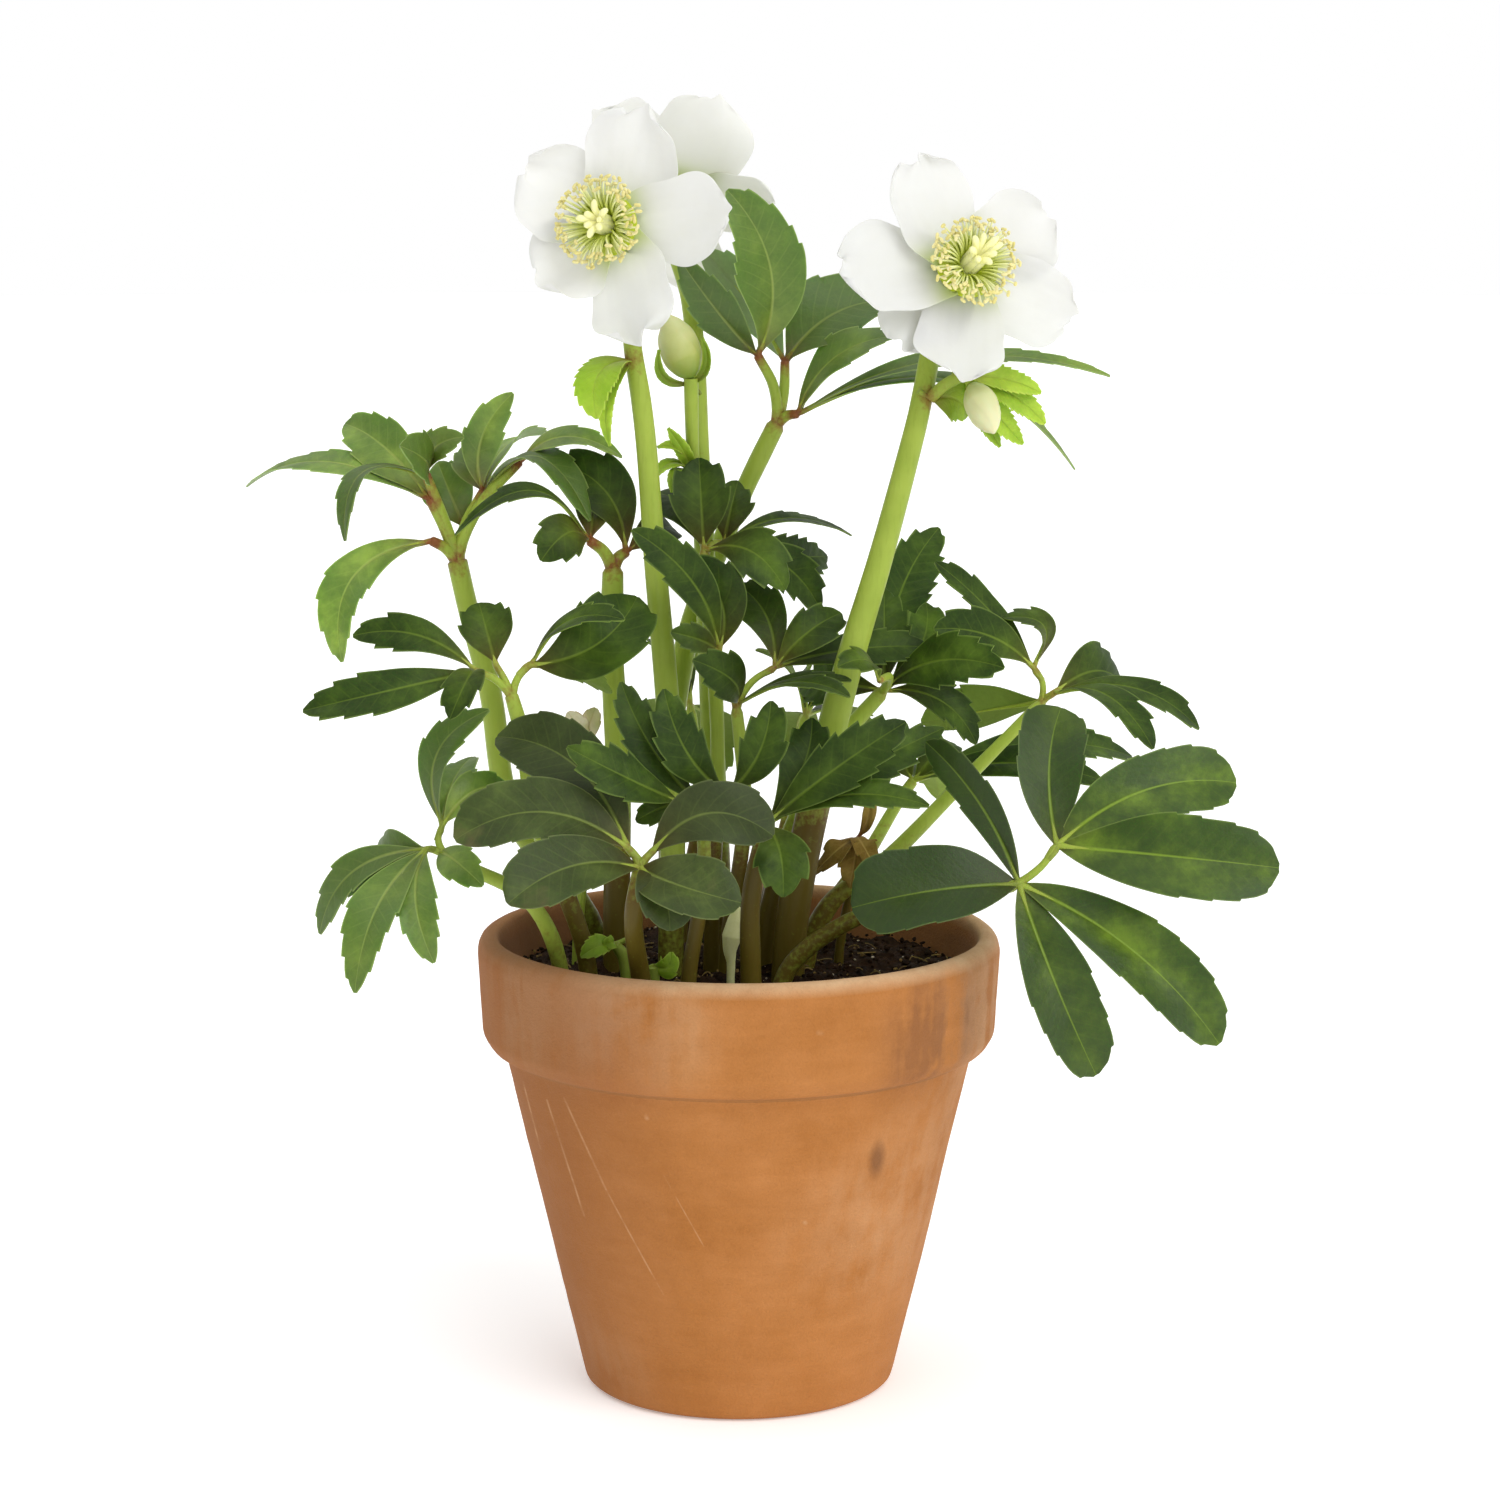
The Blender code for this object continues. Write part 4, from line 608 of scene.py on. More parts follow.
def along_tube(path, sides):
    """Distance along the path, in millimetres, for each point of its tube."""
    gone = np.concatenate([[0], np.cumsum(np.linalg.norm(np.diff(path, axis=0), axis=1))])
    return np.concatenate([np.repeat(gone, sides), gone[[0, -1]]])


def lathe(profile, sides):
    """A turned surface: each (radius, height) of the profile swept round the upright axis."""
    radius, height = np.asarray(profile, float).T
    flat = radius[:, None, None] * circle(sides)
    return np.concatenate([flat, np.broadcast_to(height[:, None, None], (*flat.shape[:2], 1))], axis=-1)


class Surface:
    """The points and faces of one piece, gathered part by part, with the values that its materials read.
    strip is (millimetres off the midrib, millimetres along, share of the length), rim the millimetres to
    the edge and tint (tone from -1 to 1, which on leaflets and sepals also carries painted light and shade,
    share of blush, 1 on an underside or at a stem's foot, where the stem is painted brown and darker, partly
    as painted shade)."""

    def __init__(self):
        self.points, self.faces, self.slots, self.count = [], [], [], 0
        self.strip, self.rim, self.tint = [], [], []

    def add(self, shape, slot=0, strip=(0, 0, 0), rim=9.0, tint=(0, 0, 0)):
        points, faces = shape
        size = len(points)
        for part in faces:
            self.faces.append(part + self.count)
            self.slots.append(np.full(len(part), slot))
        self.points.append(points)
        self.strip.append(np.broadcast_to(strip, (size, 3)))
        self.rim.append(np.broadcast_to(rim, (size,)))
        self.tint.append(np.broadcast_to(tint, (size, 3)))
        self.count += size

    def add_plate(self, top, bottom, strip, rim, tone, blush):
        """Adds a thin shell, whose tint ends in 0 on top and 1 on the underside."""
        strip = np.tile(columns(*strip).reshape(-1, 3), (2, 1))
        tint = columns(tone, blush, 0.0).reshape(-1, 3)
        tint = np.concatenate([tint, tint + [0, 0, 1]])
        self.add(shell(top, bottom), 0, strip, np.tile(rim.ravel(), 2), tint)

    def build(self, name, skins, sharp=60):
        """The piece as one smooth-shaded mesh object in metres, with its place in its mesh."""
        mesh = bpy.data.meshes.new(name)
        mesh.vertices.add(self.count)
        mesh.vertices.foreach_set("co", (np.concatenate(self.points) * MM).astype(np.float32).ravel())
        corners = np.concatenate([part.ravel() for part in self.faces])
        sizes = np.concatenate([np.full(len(part), part.shape[1]) for part in self.faces])
        mesh.loops.add(len(corners))
        mesh.loops.foreach_set("vertex_index", corners.astype(np.int32))
        mesh.polygons.add(len(sizes))
        mesh.polygons.foreach_set("loop_start", (np.cumsum(sizes) - sizes).astype(np.int32))
        mesh.polygons.foreach_set("material_index", np.concatenate(self.slots).astype(np.int32))
        for key, kind, field, values in (
            ("strip", "FLOAT_VECTOR", "vector", self.strip),
            ("rim", "FLOAT", "value", self.rim),
            ("tint", "FLOAT_VECTOR", "vector", self.tint),
        ):
            data = mesh.attributes.new(key, kind, "POINT").data
            data.foreach_set(field, np.concatenate(values).astype(np.float32).ravel())
        mesh.update(calc_edges=True)
        for skin in skins:
            mesh.materials.append(skin)
        mesh.shade_smooth()
        mesh.set_sharp_from_angle(angle=math.radians(sharp))
        piece = bpy.data.objects.new(name, mesh)
        bpy.context.scene.collection.objects.link(piece)
        return piece


def leaf_outline(s, wide, kind):
    """Half width along a leaflet: up to its peak, the sine of the share of the way there, raised to foot,
    and past it (1 - p^end)^0.62, where p is the share of the way from the peak to the tip."""
    swelling = np.sin(np.pi / 2 * np.clip(s / kind.peak, 0, 1)) ** kind.foot
    past = np.clip((s - kind.peak) / (1 - kind.peak), 0, 1)
    close = (1 - (0.992 * past) ** kind.end) ** 0.62
    return np.maximum(wide * FULLNESS * swelling * close, 0.6)


def blade_frame(base, tip, arch, bow, face, s):
    """Midrib points, side directions and upper-side normals at the stations s: the chord from base to tip,
    bulged by 4s(1 - s) times arch towards the face and times bow sideways."""
    chord = tip - base
    along = unit(chord)
    normal = unit(face - along * (face @ along))
    side = np.cross(along, normal)
    bulge = (4 * s * (1 - s))[:, None]
    slope = (4 * (1 - 2 * s))[:, None]
    middle = base + s[:, None] * chord + bulge * (normal * arch + side * bow)
    tangent = unit(chord + slope * (normal * arch + side * bow))
    upper = unit(np.cross(side, tangent))
    return middle, np.cross(tangent, upper), upper


def saw_edge(count, start, lead, rng):
    """(stations, heights) of a saw edge from -0.5 to 1: it climbs to each tooth's tip and drops past it."""
    pitch = (1 - start) / (count + 0.4)
    tips = start + pitch * (np.arange(count) + lead + rng.uniform(-0.15, 0.15, count))
    at = np.concatenate([[0, tips[0] - pitch], np.stack([tips, tips + TOOTH_DROP], axis=-1).ravel(), [1]])
    height = np.concatenate([[0, 0], np.tile([1, -0.5], count), [0]])
    return at, height


def leaflet(surface, sizes, base, blade, face, look, rng, come):
    """One leaflet. Across it, points lie at v times the half width. Its height over the midrib is a fold,
    which rises as the distance off the midrib, an edge wave, v^2 times a sine along the leaflet, and soft
    quilting, a sine with a trough at each side vein. It is turned on its midrib, more towards the tip. The
    underside lies a thickness below. A tapering rib comes along the direction come, out of the stem, and
    runs on under the blade."""
    kind = KINDS[look.kind]
    tip = seen(blade.x, blade.y, blade.depth)
    start, base = base, base + unit(tip - base) * BLADE_START
    length = np.linalg.norm(tip - base)
    count = max(2, round(length * (1 - kind.start) / kind.spacing))
    saws = [saw_edge(count, kind.start, lead, rng) for lead in (0.55, 0.95)]
    teeth = np.concatenate([at[2:-1] for at, _ in saws])
    s = np.unique(np.clip(np.concatenate([np.linspace(0, 1, BLADE_ROWS) ** 0.9, teeth]), 0, 1))
    t = np.linspace(-1, 1, BLADE_COLUMNS)
    v = np.sign(t) * np.abs(t) ** 1.35
    middle, side, upper = blade_frame(base, tip, blade.arch, blade.bow, unit(face), s)
    ahead = np.cross(upper, side)
    turn = math.radians(kind.twist) * rng.uniform(-1, 1) * (s - 0.25)[:, None] / 0.75
    side, upper = side * np.cos(turn) + upper * np.sin(turn), upper * np.cos(turn) - side * np.sin(turn)
    half = leaf_outline(s, blade.wide, kind)[:, None]
    lopsided = 0.06 * rng.uniform(-1, 1) * np.sign(v)
    half = half * (1 + lopsided + 0.03 * np.sin(9 * s + rng.uniform(0, 6))[:, None])
    saw = np.stack([np.interp(s, *edge) for edge in saws], axis=-1)[:, (t > 0).astype(int)]
    depth = min(kind.depth, 0.14 * blade.wide) * np.minimum(half / 5, 1)
    tooth = saw * depth * np.abs(v) ** 6
    off = v * half + np.sign(v) * tooth
    fold = LEAF_FOLD if blade.wide >= FOLDED_WIDTH else SLIM_FOLD
    gone = (s * length)[:, None]
    swing = rng.uniform(0, 2 * math.pi, 2)[(t > 0).astype(int)]
    wave = kind.wave * half * v**2 * np.sin(gone / length * 9.5 + swing)
    veins = (gone + VEIN_SLANT * np.abs(off)) / sizes.vein_spacing * MM
    quilt = 0.2 * kind.depth * np.abs(np.sin(math.pi * veins)) * (1 - v**4) * np.minimum(np.abs(off) / 2, 1)
    height = math.sin(fold) * (np.hypot(off, 1.2) - 1.2) + wave + quilt
    height = height + 0.35 * np.sin(gone / 6 + swing) * np.minimum(np.abs(off) / 4, 1) * (1 - v**4)
    height = height - 0.25 * (1 - 0.7 * s[:, None]) * blob(off, 0.6)
    flat = middle[:, None] + side[:, None] * (off * math.cos(fold))[..., None]
    flat = flat + ahead[:, None] * (0.7 * tooth)[..., None]
    thick = sizes.leaf_thickness / MM * (1 - 0.35 * np.abs(v) ** 3)
    top = flat + upper[:, None] * (height + thick / 2)[..., None]
    bottom = flat + upper[:, None] * (height - thick / 2 - 0.15 * blob(off, 0.8))[..., None]
    tone = look.tone + rng.uniform(-0.3, 0.3)
    blush = np.broadcast_to(look.hub * np.exp(-gone / 5), off.shape)
    surface.add_plate(top, bottom, (off, gone, s[:, None]), (1 - np.abs(v)) * half, tone, blush)

    at = np.array(RIB_STATIONS)
    under, _, above = blade_frame(base, tip, blade.arch, blade.bow, unit(face), at)
    girth = min(1.25, 0.5 + 0.06 * blade.wide)
    girths = girth * np.array([1.0, 1.0, 0.82, 0.62, 0.45, 0.3, 0.12])
    under = under - above * (girths[2:] * np.array([0.3, 0.8, 1.0, 1.0, 1.0]) + 0.1)[:, None]
    path = np.concatenate([[start - come * 5, start], under])
    run = smooth_path(path, 3)
    radii = np.interp(np.linspace(0, 6, len(run)), np.arange(7), girths)
    stem(surface, run, ends_rounded(radii), look, [start], sides=10, plain=True)


def root_points(root):
    """The upright foot of a stem, from below the compost's surface to just above it."""
    return [(*root, STEM_FOOT), (*root, SOIL_LEVEL + 2)]


def stem(surface, path, radii, look, joints, slot=1, sides=14, plain=False):
    """A round stem with its tint: blush near a joint, by the bell curve of the distance, and low down, where
    the tint also brings painted shade.
    """
    path, radii = np.asarray(path, float), np.asarray(radii, float)
    shape = tube(path, radii, sides)
    points = shape[0]
    near = np.min([np.linalg.norm(points - joint, axis=1) for joint in joints] or [[FAR]], axis=0)
    # low is the nearness to the compost: it paints the stem's foot brown and darker, partly as painted shade
    low = np.clip((SOIL_LEVEL + 15 + 42 * look.foot - points[:, 2]) / 28, 0, 1) * (not plain)
    forked = look.hub * (0.85 * blob(near, 3.4) + 0.25 * blob(near, 11.0))
    blush = np.maximum(forked, min(look.foot, 1) * low)
    along = along_tube(path, sides)
    strip = columns(0.0, along, along / along.max())
    surface.add(shape, slot, strip, tint=columns(look.tone, blush, low))


def ends_rounded(radii, share=0.5):
    """The radii with the last one narrowed, so that a stem ends in a blunt tip."""
    radii = np.array(radii, float)
    radii[-1] *= share
    return radii


def tones_and_painted_light(name, blades):
    """How much lighter or darker than its leaf each of the blades is: its own tone with painted light and
    shade.
    """
    return LEAFLET_TONES_AND_PAINTED_LIGHT.get(name, [0.0] * len(blades))


def grown_piece(leaf, sizes, skins, seed):
    """A leaf: its stem, the arms of its hub and its leaflets."""
    look = LOOKS[leaf.name]
    rng = np.random.default_rng(seed)
    surface = Surface()
    hub = seen(*leaf.hub)
    places = {"hub": hub, **{arm: seen(*point) for arm, point in leaf.arms.items()}}
    points = np.array(root_points(leaf.root) + [seen(*point) for point in leaf.stem] + [hub])
    low, high = leaf.girth
    points[-1] = hub + unit(hub - points[-2]) * high * 0.3
    path = smooth_path(points, 9)
    share = np.linspace(0, 1, len(path))
    radii = np.interp(share, [0, 0.3, 1], [low, low, high])
    radii = radii * (1 + 0.04 * swell(path, 25, seed))
    joints = list(places.values())
    stem(surface, path, ends_rounded(radii, 0.45), look, joints)
    come = unit(path[-2] - path[-6])
    comes = {"hub": come}
    for arm in leaf.arms:
        run = places[arm] - hub
        bow = np.cross(np.cross(come, unit(run)), unit(run)) * np.linalg.norm(run) * -0.12
        corners = [hub - come * 9, hub - come * 2, hub + run * 0.5 + bow, places[arm]]
        path = smooth_path(corners, 5)
        comes[arm] = unit(path[-1] - path[-3])
        path = np.concatenate([path, path[-1:] + comes[arm] * 0.8])
        thin = high * np.interp(np.linspace(0, 1, len(path)), [0, 0.4, 1], [0.76, 0.64, 0.48])
        stem(surface, path, ends_rounded(thin), look, joints, sides=12)
    for blade, shade in zip(leaf.blades, tones_and_painted_light(leaf.name, leaf.blades)):
        look_with_painted_light = look._replace(tone=look.tone + shade)
        face = blade.face or leaf.face
        leaflet(surface, sizes, places[blade.start], blade, face, look_with_painted_light, rng, comes[blade.start])
    return surface.build(leaf.name + "_grown", skins)


def on_plane(across, down, centre, aim, rise):
    """The point that the photograph shows at that pixel, rise millimetres in front of a bloom's plane."""
    near, far = seen(across, down, 0), seen(across, down, 100)
    share = (rise - (near - centre) @ aim) / ((far - near) @ aim)
    return near + share * (far - near)


def sepal_outline(s, wide):
    """Half width along a sepal: broad from its foot, widest just past the middle and rounded at the end."""
    swelling = 0.6 + 0.4 * np.sin(np.pi / 2 * np.clip(s / SEPAL_PEAK, 0, 1))
    close = (1 - np.clip((s - SEPAL_PEAK) / (1.02 - SEPAL_PEAK), 0, 1) ** 2.7) ** 0.47
    return wide * 1.03 * swelling * close


def sepal_shape(surface, centre, aim, sepal, tone, rng):
    """One sepal: v times the half width across, cupped as v^2, with a wavy rim, as high powers of v and of
    the share along it, faint pleats that fan out from its foot, and an end drawn back beside its middle."""
    tip = on_plane(sepal.x, sepal.y, centre, aim, sepal.rise)
    base = centre + unit(tip - centre) * SEPAL_START
    length = np.linalg.norm(tip - base)
    s = np.linspace(0, 1, SEPAL_ROWS) ** 0.85
    v = np.linspace(-1, 1, SEPAL_COLUMNS)
    turned = aim + SEPAL_TURN * unit(np.cross(tip - centre, aim))
    middle, side, upper = blade_frame(base, tip, -0.09 * length, 0, turned, s)
    ahead = np.cross(upper, side)
    half = sepal_outline(s, sepal.wide)[:, None]
    s = s[:, None]
    phase = rng.uniform(0, 2 * math.pi, 5)
    ragged = 1 + 0.055 * np.sin(5.5 * s + phase[0] + v) + 0.03 * np.sin(13 * s + phase[1] - 2 * v)
    off = v * half * ragged
    drawn = -0.07 * length * v**2 * s**4
    drawn = drawn + length * s**5 * (0.036 * np.sin(3.6 * v + phase[2]) + 0.013 * np.sin(9 * v + phase[1]))
    height = SEPAL_CUP * v**2 * half
    height = height + 1.5 * np.abs(v) ** 3 * np.sin(7 * s + phase[3] + 1.5 * v) * s
    height = height + 1.2 * s**4 * np.sin(4.5 * v + phase[4]) + 0.8 * s * np.sin(4.6 * v + 4 * s + phase[2])
    height = height + 0.05 * np.cos(22 * v + 0.6 * phase[0]) * s * (1 - s) * 3
    flat = middle[:, None] + side[:, None] * off[..., None] + ahead[:, None] * (drawn + 0 * off)[..., None]
    thick = 0.5 - 0.25 * np.maximum(np.abs(v) ** 4, s**6)
    top = flat + upper[:, None] * (height + thick / 2)[..., None]
    bottom = flat + upper[:, None] * (height - thick / 2)[..., None]
    gone = s * length
    rim = np.minimum((1 - np.abs(v)) * half, (1 - s) * length)
    surface.add_plate(top, bottom, (off, gone, s), rim, tone, blob(np.broadcast_to(gone, off.shape), 6.5))


def bloom_axes(aim):
    """Two directions square to each other and to the bloom's axis."""
    across = unit(np.cross(aim, UP))
    return across, np.cross(aim, across)


def round_axis(centre, aim, turn, radius, rise):
    """Points at those angles, radii and heights round the bloom's axis."""
    across, over = bloom_axes(aim)
    ring = np.cos(turn)[..., None] * across + np.sin(turn)[..., None] * over
    return centre + aim * np.asarray(rise)[..., None] + ring * np.asarray(radius)[..., None]


def curved(start, bend, end, steps):
    """Paths of (1 - t)^2 start + 2t(1 - t) bend + t^2 end, for arrays of points."""
    t = np.linspace(0, 1, steps)[:, None]
    return (1 - t) ** 2 * start[:, None] + 2 * t * (1 - t) * bend[:, None] + t**2 * end[:, None]


def bloom_middle(surface, bloom, sizes, lean, rng):
    """Nectaries, stamens and styles. Each is a tube along a curve from near the bloom's axis outwards. A
    nectary opens like a trumpet, whose wall turns back inside it. An anther is a flattened bead on its
    filament's tip."""
    aim = unit(bloom.aim)
    centre = seen(*bloom.centre) + aim * (RECEPTACLE / 2)
    full = 2 * math.pi

    count = sizes.nectaries
    turn = np.arange(count) * full / count + rng.uniform(-0.1, 0.1, count)
    mouth = rng.uniform(8.0, 9.2, count)
    around = unit(np.cross(aim, round_axis(centre, aim, turn, 1.0, 0.0) - centre))
    path = curved(
        round_axis(centre, aim, turn, 3.8, 0.5),
        round_axis(centre, aim, turn, 6.5, 1.0),
        round_axis(centre, aim, turn, mouth, 3.6),
        9,
    )
    inside = path[:, [-1, -2, -3, -4]] - (path[:, -1:] - path[:, -2:-1]) * 0.02
    trumpet = np.interp(np.arange(9), [0, 4, 8], [0.9, 1.5, 1.9])
    radii = np.concatenate([trumpet, [1.7, 1.4, 1.1, 0.6]])
    flatten = 1 - 0.25 * np.sin(np.arange(12) * full / 12) ** 2
    shape = tubes(np.concatenate([path, inside], axis=1), radii[:, None] * flatten, 12, around)
    surface.add(shape)
    disc = centre + aim * np.array([0.1, 0.6, 1.1, 2.4])[:, None]
    surface.add(tube(disc, [9.8, 9.8, 8.6, 3.0], 40))

    count = sizes.stamens
    turn = np.arange(count) * full * STAMEN_TURN + rng.uniform(-0.05, 0.05, count)
    reach = 8.8 + 6.0 * rng.uniform(0, 1, count) ** 0.7
    rise = 10.2 - 0.32 * (reach - 9) + rng.uniform(-1.3, 1.0, count)
    tips = round_axis(centre, aim, turn, reach, rise)
    path = curved(
        round_axis(centre, aim, turn, rng.uniform(2.2, 3.6, count), 1.0 + 0 * rise),
        round_axis(centre, aim, turn + rng.uniform(-0.12, 0.12, count), reach * 0.55, rise * 0.95),
        tips,
        9,
    )
    around = unit(np.cross(aim, tips - centre))
    each = np.tile(np.append(np.repeat(np.linspace(0, 1, 9), 5), [0, 1]), count)
    tint = columns(each, 1.7 * each - 0.7, 0.0)
    surface.add(tubes(path, np.linspace(0.4, 0.28, 9), 5, around), 1, tint=tint)
    bead = unit(rng.normal(size=(count, 3)) * 0.7 + around * 1.2)
    t = np.linspace(-1, 1, 7)[:, None]
    long = rng.uniform(0.9, 1.35, count)[:, None, None]
    path = tips[:, None] + bead[:, None] * t * long
    girth = 0.7 * np.sqrt(1 - (0.97 * t[:, 0]) ** 2) * (1 - 0.22 * blob(t[:, 0], 0.3))
    squeeze = 1 - 0.35 * np.sin(np.arange(8) * full / 8) ** 2
    each = np.repeat(rng.uniform(0, 1, count), 7 * 8 + 2)
    around = unit(np.cross(bead, aim + 0.01))
    surface.add(tubes(path, girth[:, None] * squeeze, 8, around), 2, tint=columns(each, each, 0.0))

    count = sizes.styles
    turn = np.arange(count) * full / count + rng.uniform(-0.25, 0.25, count)
    out = rng.uniform(3.0, 6.6, count)
    lean = np.array(lean)
    top = round_axis(centre, aim, turn, out, rng.uniform(9.0, 11.5, count)) + lean
    path = curved(
        round_axis(centre, aim, turn, 1.5, 0.6),
        round_axis(centre, aim, turn, 1.2, 12.0) + 0.5 * lean,
        top,
        13,
    )
    girth = np.interp(np.arange(13), [0, 4, 6, 10, 11, 12], [2.3, 1.8, 1.15, 1.1, 0.95, 0.45])
    around = unit(np.cross(aim, top - centre))
    surface.add(tubes(path, girth, 10, around), 3)


def bud_shape(start, tip, girth):
    """An egg-shaped bud, as Surface.add() takes it. Three sepals wrap it: round it, the radius grows with
    the angle and drops at each edge."""
    profile = smooth_path([(0, 0.32), (0.12, 0.7), (0.35, 1), (0.6, 0.96), (0.84, 0.6), (1, 0.1)], 6)
    along = unit(tip - start)
    path = start + along * FIT_GAP + profile[:, :1] * (tip - start - along * FIT_GAP)
    sides = 60
    turn = np.arange(sides) / sides * 3 + 0.5 * profile[:, :1]
    wrap = 1 + 0.07 * (turn % 1 - 0.5)
    shape = tube(path, girth * profile[:, 1:] * wrap, sides)
    share = np.concatenate([np.repeat(profile[:, 0], sides), [0, 1]])
    gone = share * np.linalg.norm(tip - start)
    off = np.concatenate([((turn % 1 - 0.5) * girth * 2).ravel(), [0, 0]])
    return shape, 0, columns(off, gone, share)


def stalk_shape(stalk, bloom, sizes, skins, seed):
    """A flower stalk: its stem up to the bloom's back, its twigs and its bracts."""
    rng = np.random.default_rng(seed)
    surface = Surface()
    centre, aim = seen(*bloom.centre), unit(bloom.aim)
    back = RECEPTACLE / 2 + FIT_GAP
    points = root_points(stalk.root) + [seen(*point) for point in stalk.stem]
    points += [centre - aim * (back + 9), centre - aim * back]
    path = smooth_path(points, 10)
    share = np.linspace(0, 1, len(path))
    low, high = stalk.girth
    radii = np.interp(share, [0, 0.25, 0.5, 1], [low, low * 0.94, low * 0.76, high])
    radii = radii + 1.8 * blob(1 - share, 0.03)
    look = Look("bract", 0.0, 0.75, STALK_FEET[stalk.name])
    joints = [seen(*stalk.joints["joint"])]
    stem(surface, path, radii, look, joints, sides=18)
    for twig, (thick, thin) in stalk.twigs:
        run = smooth_path([seen(*point) for point in twig], 6)
        stem(surface, run, np.linspace(thick, thin, len(run)), look, joints, sides=12)
    for bract, shade in zip(stalk.bracts, tones_and_painted_light("stalk_" + stalk.name, stalk.bracts)):
        joint, look_with_painted_light = seen(*stalk.joints[bract.start]), look._replace(tone=shade)
        come = unit(seen(*bract[1:4]) - joint)
        leaflet(surface, sizes, joint, bract, bract.face, look_with_painted_light, rng, come)
    return surface.build("stalk_" + stalk.name + "_grown", skins)


def inner_radius(height):
    """Radius of the pot's inner wall at that height."""
    share = (height - FLOOR_THICKNESS) / (POT_HEIGHT - 1 - FLOOR_THICKNESS)
    return INNER_FOOT_RADIUS + share * (MOUTH_RADIUS - INNER_FOOT_RADIUS)


def rounded(profile, reach):
    """The closed profile with each corner P turned into (1 - t)^2 A + 2t(1 - t) P + t^2 B, where A and B
    lie on its two sides, reach away or nearly half way to the next corner."""
    profile = np.asarray(profile, float)
    ends = []
    for other in (np.roll(profile, 1, 0), np.roll(profile, -1, 0)):
        gap = np.linalg.norm(other - profile, axis=1, keepdims=True)
        ends.append(profile + (other - profile) / gap * np.minimum(reach, 0.45 * gap))
    return curved(ends[0], profile, ends[1], 6).reshape(-1, 2)


def pot_profile():
    """Up the outside from the foot, over the rim, down the inside and through the drain hole."""
    corners = [
        (FOOT_RADIUS - 3.2, 0), (FOOT_RADIUS - 0.6, 1.6), (FOOT_RADIUS + 0.3, 5.0),
        (NECK_RADIUS, NECK_HEIGHT),
        (COLLAR_BOTTOM_RADIUS - 2.6, NECK_HEIGHT + 1.6),
        (COLLAR_BOTTOM_RADIUS, COLLAR_BOTTOM),
        (RIM_RADIUS, POT_HEIGHT - 5), (RIM_RADIUS - 0.9, POT_HEIGHT - 1.6), (RIM_RADIUS - 3.2, POT_HEIGHT),
        (MOUTH_RADIUS + 1.4, POT_HEIGHT), (MOUTH_RADIUS, POT_HEIGHT - 1.4),
        (inner_radius(FLOOR_THICKNESS), FLOOR_THICKNESS), (DRAIN_RADIUS, FLOOR_THICKNESS),
        (DRAIN_RADIUS, 0),
    ]
    turned = rounded(corners, 1.5)
    steps = np.linalg.norm(np.diff(turned, axis=0, append=turned[:1]), axis=1)
    fine = []
    for point, after, step in zip(turned, np.roll(turned, -1, 0), steps):
        cuts = max(1, int(step / 4))
        fine += [point + (after - point) * k / cuts for k in range(cuts)]
    return np.array(fine)


def soil_height(x, y):
    """The compost's lumpy surface, as in the solid."""
    lumps = np.sin(0.11 * x + 0.4) * np.cos(0.13 * y) + 0.5 * np.sin(0.23 * x - 0.19 * y)
    return SOIL_LEVEL + SOIL_LUMPS * lumps


def closed_rings(rings, foot, head):
    """A closed solid from an array of rings, (ring, point, xyz), with a fan to a point at each end."""
    count, sides = rings.shape[:2]
    points = np.concatenate([rings.reshape(-1, 3), [foot, head]])
    return points, [grid_faces(count, sides, wrapped=True), end_fans(count, sides)]


def pot_shape():
    """The pot: its profile swept round, with the soft unevenness of pressed clay on the walls."""
    rings = lathe(pot_profile(), POT_SIDES)
    radius = np.hypot(rings[..., 0], rings[..., 1])[..., None]
    uneven = swells(rings, WALL_SWELLS)[..., None]
    flat = rings[..., :2] * (1 + uneven / radius * (rings[..., 2:] > 1.2) * (radius > 30))
    rings = np.concatenate([flat, rings[..., 2:]], axis=-1)
    count = len(rings)
    quads = grid_faces(count + 1, POT_SIDES, wrapped=True) % (count * POT_SIDES)
    return rings.reshape(-1, 3), [quads]


def compost_top(x, y):
    """Height of the loose compost: the solid's lumps, and finer ones from 3 to 12 millimetres long."""
    return soil_height(x, y) + swells(columns(x, y), SOIL_SWELLS)


def compost_shape():
    """The compost: rings up the inside of the pot and inwards over the crumbly top, which dips at the pot's
    wall."""
    edge = inner_radius(SOIL_LEVEL - 2) - FIT_GAP
    bottom = FLOOR_THICKNESS + FIT_GAP
    wall = lathe([(inner_radius(bottom) - FIT_GAP, bottom), (edge, SOIL_LEVEL - 4.0)], SOIL_SIDES)
    share = np.linspace(1, 0, SOIL_RINGS)[:-1, None, None]
    flat = circle(SOIL_SIDES) * share * edge
    height = compost_top(flat[..., 0], flat[..., 1])
    dip = 2.5 * np.clip((share[..., 0] - 0.93) / 0.07, 0, 1) ** 1.5
    top = np.concatenate([flat, (height - dip)[..., None]], axis=-1)
    middle = (0, 0, float(compost_top(0.0, 0.0)))
    return closed_rings(np.concatenate([wall, top]), (0, 0, bottom), middle)


def scattered(count, reach, rng):
    """Seeded points spread evenly over a disc, with their height on the compost."""
    radius, turn = reach * np.sqrt(rng.uniform(0, 1, count)), rng.uniform(0, 2 * math.pi, count)
    x, y = radius * np.cos(turn), radius * np.sin(turn)
    return columns(x, y, compost_top(x, y))


